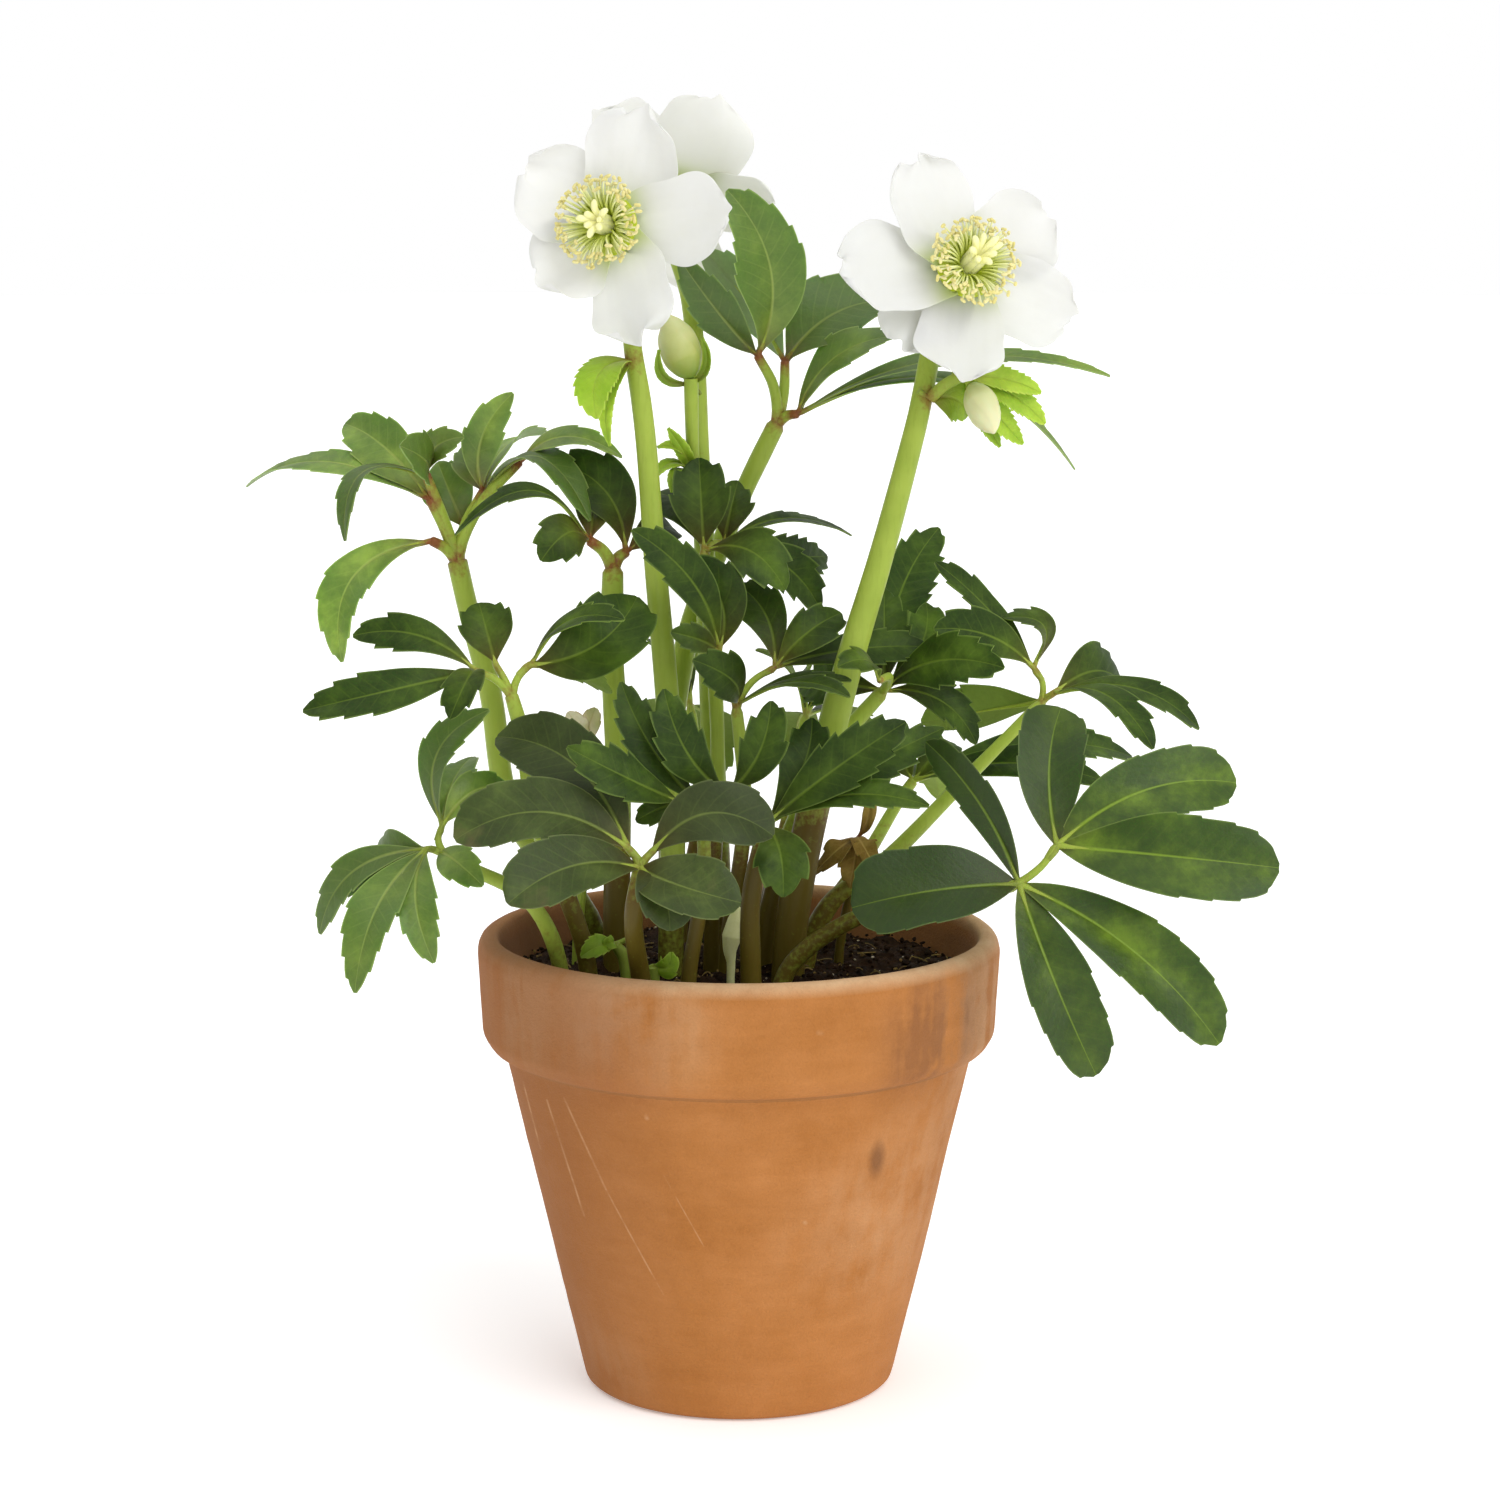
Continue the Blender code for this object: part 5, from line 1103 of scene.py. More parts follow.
def crumbs(surface, count, size, slot, seed):
    """Loose crumbs: beads of five rings, sqrt(1 - t^2) wide, each squeezed and dented at random."""
    rng = np.random.default_rng(seed)
    places = scattered(count, MOUTH_RADIUS - 5, rng)
    ways = unit(rng.normal(size=(count, 3)) * [1, 1, 0.45])
    long = size * rng.uniform(0.35, 1, count) ** 1.6
    t = np.linspace(-0.96, 0.96, 5)
    path = places[:, None] + ways[:, None] * (t[:, None] * long[:, None, None])
    path = path + UP * (0.2 * long)[:, None, None]
    girth = (long * rng.uniform(0.5, 0.95, count))[:, None] * np.sqrt(1 - t**2)
    dents = rng.uniform(0.7, 1.15, (count, 5, 6))
    shape = tubes(path, girth[..., None] * dents, 6, unit(np.cross(ways, UP + 0.01)))
    each = np.repeat(rng.uniform(0, 1, count), 5 * 6 + 2)
    surface.add(shape, slot, tint=each[:, None])


def fibres(surface, count, slot, seed):
    """Thin root fibres: arcs that lie on the compost and stand up a little in the middle."""
    rng = np.random.default_rng(seed)
    middle = scattered(count, MOUTH_RADIUS - 9, rng)
    way = unit(rng.normal(size=(count, 3)) * [1, 1, 0.25])
    long = rng.uniform(3, 11, count)[:, None]
    side = np.cross(way, UP)
    start, end = middle - way * long / 2, middle + way * long / 2
    bend = middle + side * long * rng.uniform(-0.5, 0.5, (count, 1)) + UP * rng.uniform(0.5, 3, (count, 1))
    path = curved(start, bend, end, 8)
    radii = rng.uniform(0.12, 0.3, (count, 1, 1)) * np.ones((8, 4))
    shape = tubes(path, radii, 4, unit(np.cross(way, UP)))
    each = np.repeat(rng.uniform(0, 1, count), 8 * 4 + 2)
    surface.add(shape, slot, tint=each[:, None])


def add(tree, kind, *values, **named):
    """Adds a shader node. Plain values fill its inputs in use, in their order, which for MapRange is the
    value, the range that it comes from and the range that it goes to. A name with a capital is an input
    too, with _ for a space, and any other is a setting. An input is linked to a socket, or to the first
    output in use of another node, and otherwise it is set. A text is an sRGB hex colour."""
    made = tree.nodes.new("ShaderNode" + kind)
    for key, value in named.items():
        if key[0].islower():
            setattr(made, key, value)
    inputs = list(zip([socket for socket in made.inputs if socket.enabled], values))
    for key, value in named.items():
        if key[0].isupper():
            inputs.append((made.inputs[key.replace("_", " ")], value))
    for socket, value in inputs:
        if isinstance(value, str):
            value = rgba(linear(value))
        if isinstance(value, bpy.types.bpy_prop_collection):
            value = next(output for output in value if output.enabled)
        if isinstance(value, bpy.types.NodeSocket):
            tree.links.new(value, socket)
        else:
            socket.default_value = value
    return made.outputs


def rgba(colour):
    return (*tuple(colour)[:3], 1.0)


def per_metre(size):
    """The scale, to two figures, of a pattern whose parts are that many millimetres long."""
    return float(f"{1 / (size * MM):.2g}")


def skin(name, fill, *values):
    """The material of that name, made once: fill() adds the nodes to its empty tree."""
    made = bpy.data.materials.get(name)
    if not made:
        made = bpy.data.materials.new(name)
        made.use_nodes = True
        made.node_tree.nodes.clear()
        fill(partial(add, made.node_tree), *values)
    return made


def shaded(node, colour, roughness, height, depth, **sockets):
    """Ends a material: its colour, its roughness and a bump, depth millimetres high, go into one Principled
    shader, with its other sockets as constants."""
    bump = node("Bump", Height=height, Distance=depth * MM, Strength=1.0)
    shader = node("BsdfPrincipled", Base_Color=colour, Roughness=roughness, Normal=bump, **sockets)
    node("OutputMaterial", shader)


def split(node, attribute):
    """The three parts of one of the piece's attributes."""
    return node("SeparateXYZ", node("Attribute", attribute_name=attribute)["Vector"])


# Colours of one kind of blade: the dark and the light of its mottling, its veins, margin and underside.
#  The mature blades' pale underside is partly painted light, for light that shines through a leaf from
#  behind.
BLADE_COLOURS = {
    "glossy_blade": ("#30460F", "#6A8420", "#7C9828", "#788C44", "#5E6E30"),
    "old_blade": ("#323E17", "#58682C", "#6E7E38", "#6C7644", "#66703A"),
    "mature_blade": ("#23360A", "#4E661C", "#607626", "#6C803A", "#7E9440"),
    "young_blade": ("#577420", "#94AC40", "#9CB04E", "#A6BA60", "#8EA070"),
    "bract_blade": ("#8AAC24", "#B8D040", "#94B230", "#BED458", "#A0B840"),
    "dry_blade": ("#7A6224", "#B89C50", "#B49A54", "#80682E", "#B09A58"),
    "faded_blade": ("#E0D6B0", "#F2ECD6", "#D6C89E", "#A8845A", "#EAE2C6"),
}

# The make of one kind of blade: its roughness on top, how far the veins show, how far its light mottling
# gathers along the midrib, how much of the midrib reaches the tip, its sheen, how much light goes through,
# how crowded its veins are and how far it has dried
Make = namedtuple(
    "Make", "roughness veins middle rib sheen through crowding dried", defaults=(0.1, 1.0, 0.0)
)
BLADE_MAKES = {
    "glossy_blade": Make(0.34, 0.05, 0.45, 0.45, 0.32),
    "old_blade": Make(0.44, 0.12, 0.3, 0.35, 0.26, dried=0.6),
    "mature_blade": Make(0.42, 0.14, 0.4, 0.4, 0.15),
    "young_blade": Make(0.4, 0.15, 0.4, 0.4, 0.5, 0.35),
    "bract_blade": Make(0.42, 0.6, 0.3, 0.8, 0.3, 0.35, crowding=2.4),
    "dry_blade": Make(0.7, 0.4, 0.2, 0.8, 0.2),
    "faded_blade": Make(0.6, 0.3, 0.2, 0.4, 0.2),
}


def leaf_nodes(node, colours, make, spacing):
    """Hellebore leaf: a leathery blade with a waxy skin, so a broad sheen and a little light through it.
    Mottled over about 16 mm. A pale midrib narrows to the tip, side veins leave it 4.6 mm apart and slant
    forward, a net of small veins, cells of 2 mm, lies between them, and the margin is pale for a third of a
    millimetre."""
    dark_tone, light_tone, vein, margin, underside = colours
    place = node("TexCoord")["Object"]
    strip, tint = split(node, "strip"), split(node, "tint")
    rim = node("Attribute", attribute_name="rim")["Fac"]
    off = node("Math", strip["X"], operation="ABSOLUTE")
    mottle = node("TexNoise", place, per_metre(16.1), 5.0, 0.62)
    fine = node("TexNoise", place, per_metre(1.43), 2.0)

    width = node("MapRange", strip["Z"], 0.0, 0.95, 0.65, 0.14)
    midrib = node("Math", off, width, operation="DIVIDE")
    midrib = node("MapRange", midrib, 0.5, 1.4, 1.0, 0.0)
    fading = node("MapRange", strip["Z"], 0.0, 1.0, 1.0, make.rib)
    midrib = node("Math", midrib, fading, operation="MULTIPLY")

    slant = node("Math", off, VEIN_SLANT, strip["Y"], operation="MULTIPLY_ADD")
    wobble = node("Math", mottle, 0.35, operation="MULTIPLY")
    side = node("Math", slant, MM / spacing * make.crowding, wobble, operation="MULTIPLY_ADD")
    side = node("Math", side, 0.5, operation="PINGPONG")
    side = node("MapRange", side, 0.02, 0.1, 1.0, 0.0)
    inward = node("MapRange", rim, 0.3, 4.0)
    side = node("Math", side, inward, operation="MULTIPLY")
    net = node("TexVoronoi", place, per_metre(2.1), feature="DISTANCE_TO_EDGE")
    net = node("MapRange", net, 0.0, 0.12, 0.35, 0.0)
    lines = node("Math", side, net, operation="MAXIMUM")
    lines = node("Math", lines, make.veins, operation="MULTIPLY")
    lines = node("Math", lines, midrib, operation="MAXIMUM")

    patch = node("MapRange", mottle, 0.36, 0.66)
    near = node("MapRange", off, 1.0, 7.0, make.middle, 0.0)
    patchy = node("Math", patch, 0.55, near, operation="MULTIPLY_ADD")
    patchy = node("Math", patchy, patch, operation="MULTIPLY", use_clamp=True)
    # tint X is the leaflet's tone with its painted light and shade: a darker leaflet is less mottled
    mottle_by_tone = node("Math", tint["X"], 0.8, 1.0, operation="MULTIPLY_ADD", use_clamp=True)
    patchy = node("Math", patchy, mottle_by_tone, operation="MULTIPLY")
    edge = node("MapRange", rim, 0.12, 0.5, 0.55, 0.0)
    layers = [(lines, vein), (edge, margin)]
    if make.dried:
        dried = node("TexNoise", place, per_metre(21), 4.0)
        dried = node("Math", strip["Z"], 0.55, dried, operation="MULTIPLY_ADD")
        layers.append((node("MapRange", dried, 1.1, 1.2, 0.0, make.dried), "#5E5234"))
    under = node("Math", tint["Z"], 0.8, operation="MULTIPLY")
    layers += [(tint["Y"], "#6A4024"), (under, underside)]
    colour = node("Mix", patchy, dark_tone, light_tone, data_type="RGBA")
    for share, shade in layers:
        colour = node("Mix", share, colour, shade, data_type="RGBA")

    # Painted light and shade: the leaflet's tone makes the whole blade lighter or darker
    value = node("Math", tint["X"], 0.3, 1.0, operation="MULTIPLY_ADD")
    grain = node("Math", fine, 0.24, 0.88, operation="MULTIPLY_ADD")
    value = node("Math", value, grain, operation="MULTIPLY")
    colour = node("HueSaturation", Value=value, Color=colour)
    dull = node("Math", tint["Z"], 0.2, make.roughness, operation="MULTIPLY_ADD")
    dull = node("Math", fine, 0.12, dull, operation="MULTIPLY_ADD")
    height = node("Math", lines, -1.0, fine, operation="MULTIPLY_ADD")
    shaded(
        node, colour, dull, height, 0.12, Specular_IOR_Level=make.sheen,
        Subsurface_Weight=make.through, Subsurface_Scale=1.5 * MM, Subsurface_Radius=(0.5, 1.0, 0.2),
    )


def leaf_skin(name, sizes):
    """The material of one kind of blade."""
    return skin(name, leaf_nodes, BLADE_COLOURS[name], BLADE_MAKES[name], sizes.vein_spacing)


def stem_nodes(node):
    """Hellebore stem: smooth juicy skin, yellow-green, with faint darker streaks along it, 1 mm wide, over
    9 mm spots. It turns red-brown where it forks and brown low down, in specks of 1.6 mm. The brown low
    down is partly its own colour and partly painted shade of the crowded crown in the pot, where the stem
    is also painted darker. Its tint carries the tone, the blush and the nearness to the soil."""
    place, tint = node("TexCoord")["Object"], split(node, "tint")
    stretched = node("VectorMath", place, (1.0, 1.0, 0.12), operation="MULTIPLY")
    streaks = node("TexNoise", stretched, per_metre(1.05), 3.0)
    mottle = node("TexNoise", place, per_metre(9.1), 4.0)
    speck = node("TexNoise", place, per_metre(1.61), 3.0, 0.6)
    line = node("MapRange", streaks, 0.5, 0.8, 0.0, 0.25)
    red = node("Math", speck, 1.1, tint["Y"], operation="MULTIPLY_ADD")
    red = node("MapRange", red, 0.78, 1.4, 0.0, 0.9)
    brown = node("Mix", tint["Z"], "#803C26", "#5A4210", data_type="RGBA")
    colour = node("Mix", mottle, "#8CA038", "#A6B84C", data_type="RGBA")
    colour = node("Mix", line, colour, "#6A7C2A", data_type="RGBA")
    colour = node("Mix", red, colour, brown, data_type="RGBA")
    value = node("Math", tint["X"], 0.3, 1.0, operation="MULTIPLY_ADD")
    # Painted shade: the stem is darkened low down, near the compost
    value = node("Math", tint["Z"], -0.1, value, operation="MULTIPLY_ADD")
    colour = node("HueSaturation", Value=value, Color=colour)
    rough = node("Math", mottle, 0.2, 0.3, operation="MULTIPLY_ADD")
    shaded(
        node, colour, rough, streaks, 0.1, Specular_IOR_Level=0.2,
        Subsurface_Weight=0.2, Subsurface_Scale=3 * MM, Subsurface_Radius=(0.5, 1.0, 0.25),
    )


def sepal_nodes(node):
    """Sepal: thin, soft and white, with a silky skin that lets light through, greenish at its foot, with
    soft swellings 8 mm long. Its tint carries the painted light and shade of its bloom, lighter on the
    shaded blooms and darker on the lit one, and the green of its foot."""
    place, tint = node("TexCoord")["Object"], split(node, "tint")
    noise = node("TexNoise", place, per_metre(7.7), 4.0)
    colour = node("Mix", noise, "#E0DFD9", "#E6E6E2", data_type="RGBA")
    # Painted light and shade: each bloom's sepals are lightened or darkened for how the light falls on them
    value = node("Math", tint["X"], 1.0, operation="ADD")
    colour = node("HueSaturation", Value=value, Color=colour)
    for part, reach, shade in (("Y", 0.9, "#A9BE48"), ("Z", 0.12, "#DDE0BE")):
        share = node("Math", tint[part], reach, operation="MULTIPLY")
        colour = node("Mix", share, colour, shade, data_type="RGBA")
    shaded(
        node, colour, 0.5, noise, 0.14, Sheen_Weight=0.08,
        Subsurface_Weight=0.5, Subsurface_Scale=4 * MM, Subsurface_Radius=(1.0, 0.95, 0.8),
    )


def soft_nodes(node, low, high, roughness):
    """Soft flower tissue, such as an anther dusty with pollen: two tones that change from part to part and
    with a grain of about 0.8 mm."""
    place, tint = node("TexCoord")["Object"], split(node, "tint")
    grain = node("TexNoise", place, per_metre(0.83), 3.0)
    share = node("Math", tint["Y"], 0.6, operation="MULTIPLY")
    share = node("Math", grain, 0.5, share, operation="MULTIPLY_ADD", use_clamp=True)
    colour = node("Mix", share, low, high, data_type="RGBA")
    shaded(
        node, colour, roughness, grain, 0.08,
        Subsurface_Weight=0.3, Subsurface_Scale=1.5 * MM, Subsurface_Radius=(1.0, 1.0, 0.5),
    )


def bud_nodes(node, foot, middle, tip):
    """Closed bud: the backs of its sepals, silky, greener towards the foot, with streaks of about 4 mm."""
    noise = node("TexNoise", node("TexCoord")["Object"], per_metre(3.8), 4.0)
    share = node("Math", noise, 0.25, split(node, "strip")["Z"], operation="MULTIPLY_ADD")
    low, high = node("MapRange", share, 0.12, 0.5), node("MapRange", share, 0.45, 1.1)
    colour = node("Mix", low, foot, middle, data_type="RGBA")
    colour = node("Mix", high, colour, tip, data_type="RGBA")
    shaded(node, colour, 0.45, noise, 0.1, Subsurface_Weight=0.25, Subsurface_Scale=3 * MM)


def on_wall(across, down):
    """The point of the pot's outside, in metres, that the photograph shows at that pixel: the line of sight
    is stepped towards the wall, whose radius grows evenly with height up to the collar, until it reaches
    it."""
    near, far = seen(across, down, -RIM_RADIUS - 6), seen(across, down, 0)
    points = near + np.linspace(0, 1, SIGHT_STEPS)[:, None] * (far - near)
    cone = FOOT_RADIUS + (NECK_RADIUS - FOOT_RADIUS) * points[:, 2] / NECK_HEIGHT
    wall = np.where(points[:, 2] > NECK_HEIGHT, RIM_RADIUS, cone)
    hit = points[np.argmax(np.hypot(points[:, 0], points[:, 1]) <= wall)]
    return tuple(float(part) for part in hit * MM)


def scratch_share(node, place, start, end, width):
    """How much a scratch shows: 1 on the stretch from start to end, falling to 0 at width metres off."""
    first, last = np.array(on_wall(*start)), np.array(on_wall(*end))
    run = last - first
    gone = node("VectorMath", place, tuple(first), operation="SUBTRACT")
    share = node("VectorMath", gone, tuple(run / (run @ run)), operation="DOT_PRODUCT")
    share = node("Math", share, 0.0, operation="ADD", use_clamp=True)
    reached = node("VectorMath", tuple(run), share, operation="SCALE")
    apart = node("VectorMath", gone, reached, operation="SUBTRACT")
    apart = node("VectorMath", apart, (1.0, 0.0, 1.0), operation="MULTIPLY")
    return node("MapRange", node("VectorMath", apart, operation="LENGTH"), width, 0.0)


def terracotta_nodes(node, clay):
    """Terracotta: pressed and fired earthenware, dry and matt. Mottled over 29 mm and 5 mm, with turned
    bands 6 mm high, a sandy grain of 0.8 mm, faint drips 7 mm wide down the wall, a pale rim, streaky lime
    and smudges, darker damp at the foot, and the scratches and the dried drop that the photograph shows.
    Light and shade are painted on it too: two pale lime patches on its right side are painted light, and its
    left side, the crease under the collar and the inner wall near the mouth are darkened as painted shade."""
    place = node("TexCoord")["Object"]
    parts = node("SeparateXYZ", place)
    broad = node("TexNoise", place, per_metre(29), 6.0, 0.6)
    small = node("TexNoise", place, per_metre(5.3), 4.0)
    sand = node("TexNoise", place, per_metre(0.77), 3.0, 0.7)
    tall = node("VectorMath", place, (1.0, 1.0, 0.08), operation="MULTIPLY")
    drips = node("TexNoise", tall, per_metre(6.7), 4.0)
    wide = node("VectorMath", place, (0.16, 0.16, 1.0), operation="MULTIPLY")
    bands = node("TexNoise", wide, per_metre(5.9), 5.0, 0.6)
    clay = np.array(clay)
    light, dark = rgba(clay * (1.12, 1.17, 1.35)), rgba(clay * (0.87, 0.83, 0.68))
    patch = node("Math", bands, 0.5, broad, operation="MULTIPLY_ADD")
    patch = node("MapRange", patch, 0.55, 0.98)
    fleck = node("MapRange", small, 0.4, 0.75, 0.0, 0.5)
    drip = node("MapRange", drips, 0.55, 0.8, 0.0, 0.25)
    layers = [(patch, light), (fleck, rgba(clay)), (drip, light)]

    streaky = node("Math", small, 0.5, drips, operation="MULTIPLY_ADD")
    streaky = node("Math", broad, 0.8, streaky, operation="MULTIPLY_ADD")
    streaky = node("MapRange", streaky, 0.95, 1.4)
    for across, down, reach, share, shade in PATCHES:
        gone = node("VectorMath", place, on_wall(across, down), operation="DISTANCE")
        wash = node("MapRange", gone, reach, 0.0, interpolation_type="SMOOTHSTEP")
        wash = node("Math", wash, streaky, operation="MULTIPLY")
        layers.append((node("MapRange", wash, 0.0, 0.5, 0.0, share), shade))

    chalk = node("Math", small, 0.6, 0.4, operation="MULTIPLY_ADD")
    top = node("MapRange", parts["Z"], (POT_HEIGHT - 4.5) * MM, (POT_HEIGHT - 0.5) * MM)
    chalk = node("Math", chalk, top, operation="MULTIPLY")
    damp = node("MapRange", parts["Z"], DAMP_HEIGHT * MM, 0.0, 0.0, 0.3)
    damp = node("Math", damp, broad, operation="MULTIPLY")
    # Painted shade: the left side of the pot, away from the key light, is darkened
    dull = node("MapRange", parts["X"], -0.015, -0.055, 0.0, 0.8)
    # Painted shade: a dark line in the crease under the collar
    painted_collar_shade = node("Math", parts["Z"], (NECK_HEIGHT + 0.2) * MM, 0.0009, operation="COMPARE")
    painted_collar_shade = node("Math", painted_collar_shade, 0.5, operation="MULTIPLY")
    # Painted shade: the inner wall near the mouth, above the collar's foot, is darkened
    around = node("VectorMath", place, (1.0, 1.0, 0.0), operation="MULTIPLY")
    around = node("VectorMath", around, operation="LENGTH")
    mouth, within = (MOUTH_RADIUS + 1) * MM, (MOUTH_RADIUS - 1.5) * MM
    inside = node("MapRange", around, mouth, within, 0.0, 0.6)
    high = node("Math", parts["Z"], (COLLAR_BOTTOM - 2) * MM, operation="GREATER_THAN")
    inside = node("Math", inside, high, operation="MULTIPLY")
    layers += [
        (chalk, "#D6B48C"), (damp, dark), (dull, rgba(clay * (0.7, 0.67, 0.72))), (painted_collar_shade, "#8A6036"),
        (inside, "#6A4C32"),
    ]

    front = node("Math", parts["Y"], -0.02, operation="LESS_THAN")
    broken = node("MapRange", small, 0.35, 0.6, 0.0, 0.55)
    broken = node("Math", broken, front, operation="MULTIPLY")
    for start, end, width in SCRATCHES:
        mark = scratch_share(node, place, start, end, width)
        layers.append((node("Math", mark, broken, operation="MULTIPLY"), "#D2A67A"))
    gone = node("VectorMath", place, on_wall(*DROP_STAIN), operation="SUBTRACT")
    gone = node("VectorMath", gone, (1.0, 0.6, 0.42), operation="MULTIPLY")
    gone = node("VectorMath", gone, operation="LENGTH")
    layers.append((node("MapRange", gone, 0.0036, 0.0012, 0.0, 0.7), "#6F4626"))

    colour = dark
    for share, shade in layers:
        colour = node("Mix", share, colour, shade, data_type="RGBA")
    grain = node("Math", sand, 0.3, 0.85, operation="MULTIPLY_ADD")
    colour = node("HueSaturation", Value=grain, Color=colour)
    rough = node("Math", small, 0.2, 0.72, operation="MULTIPLY_ADD")
    height = node("Math", small, 1.2, sand, operation="MULTIPLY_ADD")
    shaded(node, colour, rough, height, 0.35, Specular_IOR_Level=0.3)


def compost_nodes(node, peat):
    """Moist peat and bark compost: nearly black brown, matt, with a few damp glints. Lumps over 5 mm, grain
    over 1 mm, and stray fibres of a lighter brown."""
    place = node("TexCoord")["Object"]
    lumps = node("TexNoise", place, per_metre(4.8), 6.0, 0.7)
    grain = node("TexNoise", place, per_metre(1.11), 4.0, 0.75)
    peat = np.array(peat)
    share = node("MapRange", lumps, 0.38, 0.68)
    stray = node("MapRange", grain, 0.62, 0.72, 0.0, 0.5)
    colour = node("Mix", share, rgba(peat * 0.35), rgba(peat * 1.7), data_type="RGBA")
    colour = node("Mix", stray, colour, "#5B4530", data_type="RGBA")
    rough = node("MapRange", grain, 0.3, 0.6, 0.55, 0.95)
    shaded(node, colour, rough, lumps, 1.6, Specular_IOR_Level=0.12)


def floor_nodes(node, colour):
    """The stage's floor: a light table, lit from below, so that shadows stay faint and only the plant draws
    the eye."""
    grain = node("TexNoise", node("TexCoord")["Object"], per_metre(2.5))
    shaded(
        node, rgba(colour), 0.85, grain, 0.01, Specular_IOR_Level=0.1,
        Emission_Color="#FFFFFF", Emission_Strength=0.25,
    )


def place_piece(piece, node):
    """Lets the piece stand for the solid of that node: the piece joins the body, and the solid is hidden."""
    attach(piece, BODY)
    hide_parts(node)


def grow(plants, sizes, seed):
    """Makes each of the plants, a leaf or a withered piece, and puts it in its node's place."""
    for k, plant in enumerate(plants):
        skins = [leaf_skin(KINDS[LOOKS[plant.name].kind].skin, sizes), skin("green_stem", stem_nodes)]
        place_piece(grown_piece(plant, sizes, skins, seed + k), plant.name)


class HelleboreSizes(bpy.types.PropertyGroup):
    """Sizes and counts of the plant's fine parts."""

    leaf_thickness: FloatProperty(
        name="Leaf thickness", description="Thickness of a leaflet", default=0.00045, unit="LENGTH"
    )
    vein_spacing: FloatProperty(
        name="Vein spacing", description="Distance between side veins", default=0.0046, unit="LENGTH"
    )
    stamens: IntProperty(name="Stamens", description="Stamens in a bloom", default=116, min=12)
    nectaries: IntProperty(name="Nectaries", description="Nectaries in a bloom", default=15, min=5)
    styles: IntProperty(name="Styles", description="Styles in a bloom", default=8, min=3)
    crumbs: IntProperty(name="Crumbs", description="Loose crumbs on the compost", default=1900, min=0)


class HelleboreColours(bpy.types.PropertyGroup):
    """Colours that a user would change."""

    clay: FloatVectorProperty(
        name="Clay", description="Colour of the fired pot", subtype="COLOR", default=linear("#B07238")
    )
    peat: FloatVectorProperty(
        name="Peat", description="Colour of the compost", subtype="COLOR", default=linear("#2C1B0D")
    )
    floor: FloatVectorProperty(
        name="Floor", description="Colour of the stage's floor", subtype="COLOR", default=linear("#FFFFFF")
    )


class StageLights(bpy.types.PropertyGroup):
    """Strengths of the stage's lights."""

    sky: FloatProperty(name="Sky", description="Strength of the white surroundings", default=0.6, min=0)
    key: FloatProperty(name="Key", description="Strength of the light from the right", default=1.35, min=0)
    top: FloatProperty(name="Top", description="Strength of the light from above", default=0.7, min=0)


class HELLEBORE_OT_pot(bpy.types.Operator):
    """Build the clay pot"""

    bl_idname = "hellebore.pot"
    bl_label = "Clay pot"

    def execute(self, context):
        surface = Surface()
        surface.add(pot_shape())
        clay = skin("fired_terracotta", terracotta_nodes, context.scene.hellebore_colours.clay)
        place_piece(surface.build("pot_fired", [clay], sharp=50), "pot")
        return {"FINISHED"}


class HELLEBORE_OT_compost(bpy.types.Operator):
    """Fill the pot with crumbly compost"""

    bl_idname = "hellebore.compost"
    bl_label = "Compost"

    def execute(self, context):
        surface = Surface()
        surface.add(compost_shape())
        count = context.scene.hellebore_sizes.crumbs
        for part, size, slot, seed in LOOSE_PARTS:
            crumbs(surface, count // part, size, slot, seed)
        part, slot, seed = FIBRES
        fibres(surface, count // part, slot, seed)
        skins = [
            skin("peat_compost", compost_nodes, context.scene.hellebore_colours.peat),
            skin("bark_chip", soft_nodes, "#4A3214", "#8A7038", 0.8),
            skin("perlite_grain", soft_nodes, "#8A7A62", "#CFC3AC", 0.9),
        ]
        place_piece(surface.build("compost_filling", skins), "compost")
        return {"FINISHED"}


class HELLEBORE_OT_leaves(bpy.types.Operator):
    """Grow the leaves"""

    bl_idname = "hellebore.leaves"
    bl_label = "Leaves"

    def execute(self, context):
        grow(LEAVES, context.scene.hellebore_sizes, SEEDS["leaves"])
        return {"FINISHED"}


class HELLEBORE_OT_sepals(bpy.types.Operator):
    """Open the white sepals of each bloom"""

    bl_idname = "hellebore.sepals"
    bl_label = "Sepals"

    def execute(self, context):
        for k, bloom in enumerate(BLOOMS):
            rng = np.random.default_rng(SEEDS["sepals"] + k)
            surface = Surface()
            centre, aim = seen(*bloom.centre), unit(bloom.aim)
            t = np.linspace(-1, 1, 9)
            path = centre + aim * (t[:, None] * RECEPTACLE / 2)
            surface.add(tube(path, 5.5 - 0.5 * t - 1.6 * np.abs(t) ** 8, 32), 1, tint=(0, 0.1, 0))
            for sepal in bloom.sepals:
                sepal_shape(surface, centre, aim, sepal, SEPAL_PAINTED_LIGHT[bloom.name], rng)
            skins = [skin("white_sepal", sepal_nodes), skin("green_stem", stem_nodes)]
            place_piece(surface.build("sepals_" + bloom.name + "_open", skins), "sepals_" + bloom.name)
        return {"FINISHED"}


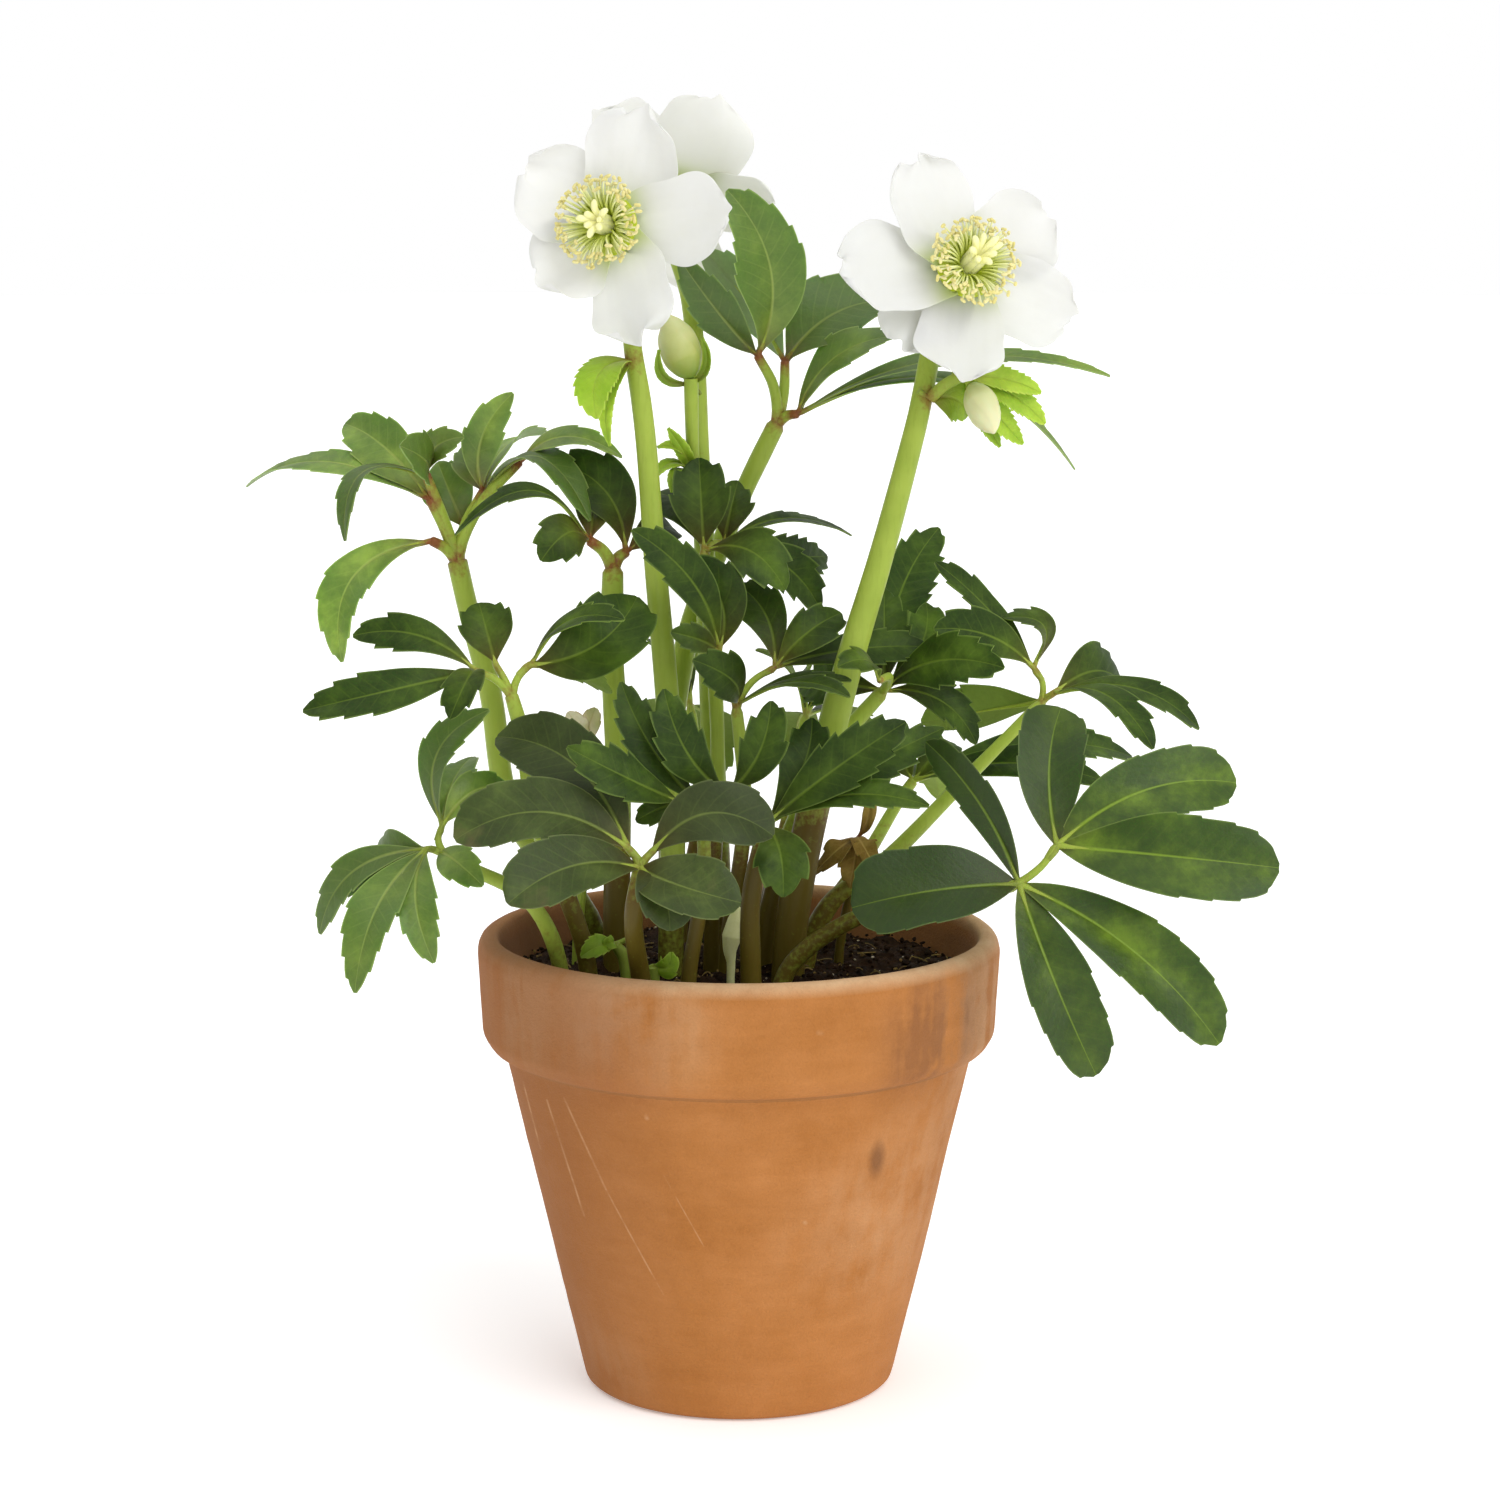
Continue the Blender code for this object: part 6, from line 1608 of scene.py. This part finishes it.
class HELLEBORE_OT_middles(bpy.types.Operator):
    """Fill the middle of each bloom with nectaries, stamens and styles"""

    bl_idname = "hellebore.middles"
    bl_label = "Bloom middles"

    def execute(self, context):
        for k, bloom in enumerate(BLOOMS):
            surface = Surface()
            lean = LEANS[bloom.name]
            rng = np.random.default_rng(SEEDS["middles"] + k)
            bloom_middle(surface, bloom, context.scene.hellebore_sizes, lean, rng)
            skins = [
                skin("nectary", soft_nodes, "#B2C21A", "#D4E03C", 0.4),
                skin("filament", soft_nodes, "#BCCC24", "#F6F4C6", 0.5),
                skin("anther", soft_nodes, "#D2C468", "#EEE4A8", 0.8),
                skin("style", soft_nodes, "#F2F0A8", "#FBF9CE", 0.45),
            ]
            place_piece(surface.build("centre_" + bloom.name + "_ring", skins), "centre_" + bloom.name)
        return {"FINISHED"}


class HELLEBORE_OT_stalks(bpy.types.Operator):
    """Grow the flower stalks and their bracts"""

    bl_idname = "hellebore.stalks"
    bl_label = "Flower stalks"

    def execute(self, context):
        sizes = context.scene.hellebore_sizes
        for k, (stalk, bloom) in enumerate(zip(STALKS, BLOOMS)):
            skins = [leaf_skin("bract_blade", sizes), skin("green_stem", stem_nodes)]
            piece = stalk_shape(stalk, bloom, sizes, skins, SEEDS["stalks"] + k)
            place_piece(piece, "stalk_" + stalk.name)
        return {"FINISHED"}


class HELLEBORE_OT_buds(bpy.types.Operator):
    """Set the closed buds on their twigs"""

    bl_idname = "hellebore.buds"
    bl_label = "Buds"

    def execute(self, context):
        for stalk in STALKS:
            if not stalk.bud:
                continue
            surface = Surface()
            start, tip = seen(*stalk.twigs[0][0][-1]), seen(*stalk.bud[:3])
            surface.add(*bud_shape(start, tip, stalk.bud.girth))
            name = "bud_" + stalk.name
            silk = skin(name + "_skin", bud_nodes, *BUD_COLOURS[stalk.name])
            place_piece(surface.build(name + "_closed", [silk]), name)
        return {"FINISHED"}


class HELLEBORE_OT_withered(bpy.types.Operator):
    """Add the withered sheath and the withered bloom"""

    bl_idname = "hellebore.withered"
    bl_label = "Withered pieces"

    def execute(self, context):
        grow(WITHERED, context.scene.hellebore_sizes, SEEDS["withered"])
        return {"FINISHED"}


class HELLEBORE_OT_shoots(bpy.types.Operator):
    """Raise the pale young shoots at the crown"""

    bl_idname = "hellebore.shoots"
    bl_label = "Young shoots"

    def execute(self, context):
        # The shoots' tone of -0.7 is painted shade, since they stand in the pot's shade
        sizes, look = context.scene.hellebore_sizes, Look("bract", -0.7, 0.0, 0.0)
        for k, shoot in enumerate(SHOOTS):
            rng = np.random.default_rng(SEEDS["shoots"] + k)
            points = root_points(shoot.root) + [seen(*point[:3]) for point in shoot.points]
            girths = [shoot.girth, shoot.girth] + [point[3] for point in shoot.points]
            path = smooth_path(points, 10)
            radii = np.interp(np.linspace(0, len(girths) - 1, len(path)), np.arange(len(girths)), girths)
            surface = Surface()
            stem(surface, path, ends_rounded(radii, 0.4), look, [], slot=1, sides=24)
            for blade in shoot.blades:
                come = unit(seen(*blade[1:4]) - path[-1])
                leaflet(surface, sizes, path[-1], blade, blade.face, look, rng, come)
            pale = skin("pale_sheath", soft_nodes, *SHOOT_COLOURS, 0.45)
            green = skin("green_stem", stem_nodes)
            skins = [leaf_skin("bract_blade", sizes), green if shoot.blades else pale]
            place_piece(surface.build(shoot.name + "_tender", skins), shoot.name)
        return {"FINISHED"}


class HELLEBORE_OT_stage(bpy.types.Operator):
    """Set up the camera, the pale floor and the soft light"""

    bl_idname = "hellebore.stage"
    bl_label = "Stage"

    def execute(self, context):
        scene, lights = context.scene, context.scene.hellebore_lights
        scene.view_settings.view_transform = "Standard"
        camera = bpy.data.cameras.new("photo_camera")
        camera.sensor_width = SENSOR
        camera.lens = SENSOR * PHOTO_FOCAL / PHOTO_SIZE
        camera.clip_end = CAMERA_REACH
        holder = bpy.data.objects.new("photo_camera", camera)
        holder.location = EYE * MM
        holder.rotation_euler = (math.radians(90) - PITCH, 0.0, 0.0)
        scene.collection.objects.link(holder)
        scene.camera = holder

        surface = Surface()
        rings = lathe(FLOOR_RINGS, FLOOR_SIDES)
        surface.add(closed_rings(rings, (0, 0, FLOOR_RINGS[0][1]), (0, 0, 0)))
        surface.build("floor", [skin("floor_paint", floor_nodes, scene.hellebore_colours.floor)])

        world = bpy.data.worlds.new("studio")
        world.use_nodes = True
        world.node_tree.nodes.clear()
        node = partial(add, world.node_tree)
        ways = node("SeparateXYZ", node("TexCoord")["Generated"])
        strength = node("MapRange", ways["Z"], *HORIZON, 1.0, lights.sky)
        for way, start, end, share in SURROUNDINGS:
            factor = node("MapRange", ways[way], start, end, 1.0, share)
            strength = node("Math", strength, factor, operation="MULTIPLY")
        node("OutputWorld", node("Background", "#FFFFFF", strength))
        scene.world = world

        for name, (place, spread) in LAMPS.items():
            lamp = bpy.data.lights.new(name + "_light", "SUN")
            lamp.angle = math.radians(spread)
            lamp.energy = getattr(lights, name)
            holder = bpy.data.objects.new(name + "_light", lamp)
            holder.location = place
            holder.rotation_euler = (-Vector(place)).to_track_quat("-Z", "Y").to_euler()
            scene.collection.objects.link(holder)
        return {"FINISHED"}


OPERATORS = [
    HELLEBORE_OT_stage, HELLEBORE_OT_pot, HELLEBORE_OT_compost, HELLEBORE_OT_leaves,
    HELLEBORE_OT_sepals, HELLEBORE_OT_middles, HELLEBORE_OT_stalks, HELLEBORE_OT_buds,
    HELLEBORE_OT_withered, HELLEBORE_OT_shoots,
]


class HELLEBORE_PT_panel(bpy.types.Panel):
    """Lists the pieces and their settings"""

    bl_label = "Potted hellebore"
    bl_idname = "HELLEBORE_PT_panel"
    bl_space_type = "VIEW_3D"
    bl_region_type = "UI"
    bl_category = "Hellebore"

    def draw(self, context):
        scene = context.scene
        for group in (scene.hellebore_sizes, scene.hellebore_colours, scene.hellebore_lights):
            box = self.layout.box()
            for key in group.bl_rna.properties.keys():
                if key not in {"rna_type", "name"}:
                    box.prop(group, key)
        for operator in OPERATORS:
            self.layout.operator(operator.bl_idname)


CLASSES = [HelleboreSizes, HelleboreColours, StageLights, *OPERATORS, HELLEBORE_PT_panel]


def register():
    for kind in CLASSES:
        bpy.utils.register_class(kind)
    bpy.types.Scene.hellebore_sizes = PointerProperty(type=HelleboreSizes)
    bpy.types.Scene.hellebore_colours = PointerProperty(type=HelleboreColours)
    bpy.types.Scene.hellebore_lights = PointerProperty(type=StageLights)


def unregister():
    del bpy.types.Scene.hellebore_lights
    del bpy.types.Scene.hellebore_colours
    del bpy.types.Scene.hellebore_sizes
    for kind in reversed(CLASSES):
        bpy.utils.unregister_class(kind)


def main():
    """Registers the add-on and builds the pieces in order."""
    register()
    bpy.ops.hellebore.stage()
    bpy.ops.hellebore.pot()
    bpy.ops.hellebore.compost()
    bpy.ops.hellebore.leaves()
    bpy.ops.hellebore.sepals()
    bpy.ops.hellebore.middles()
    bpy.ops.hellebore.stalks()
    bpy.ops.hellebore.buds()
    bpy.ops.hellebore.withered()
    bpy.ops.hellebore.shoots()


if __name__ == "__main__":
    main()
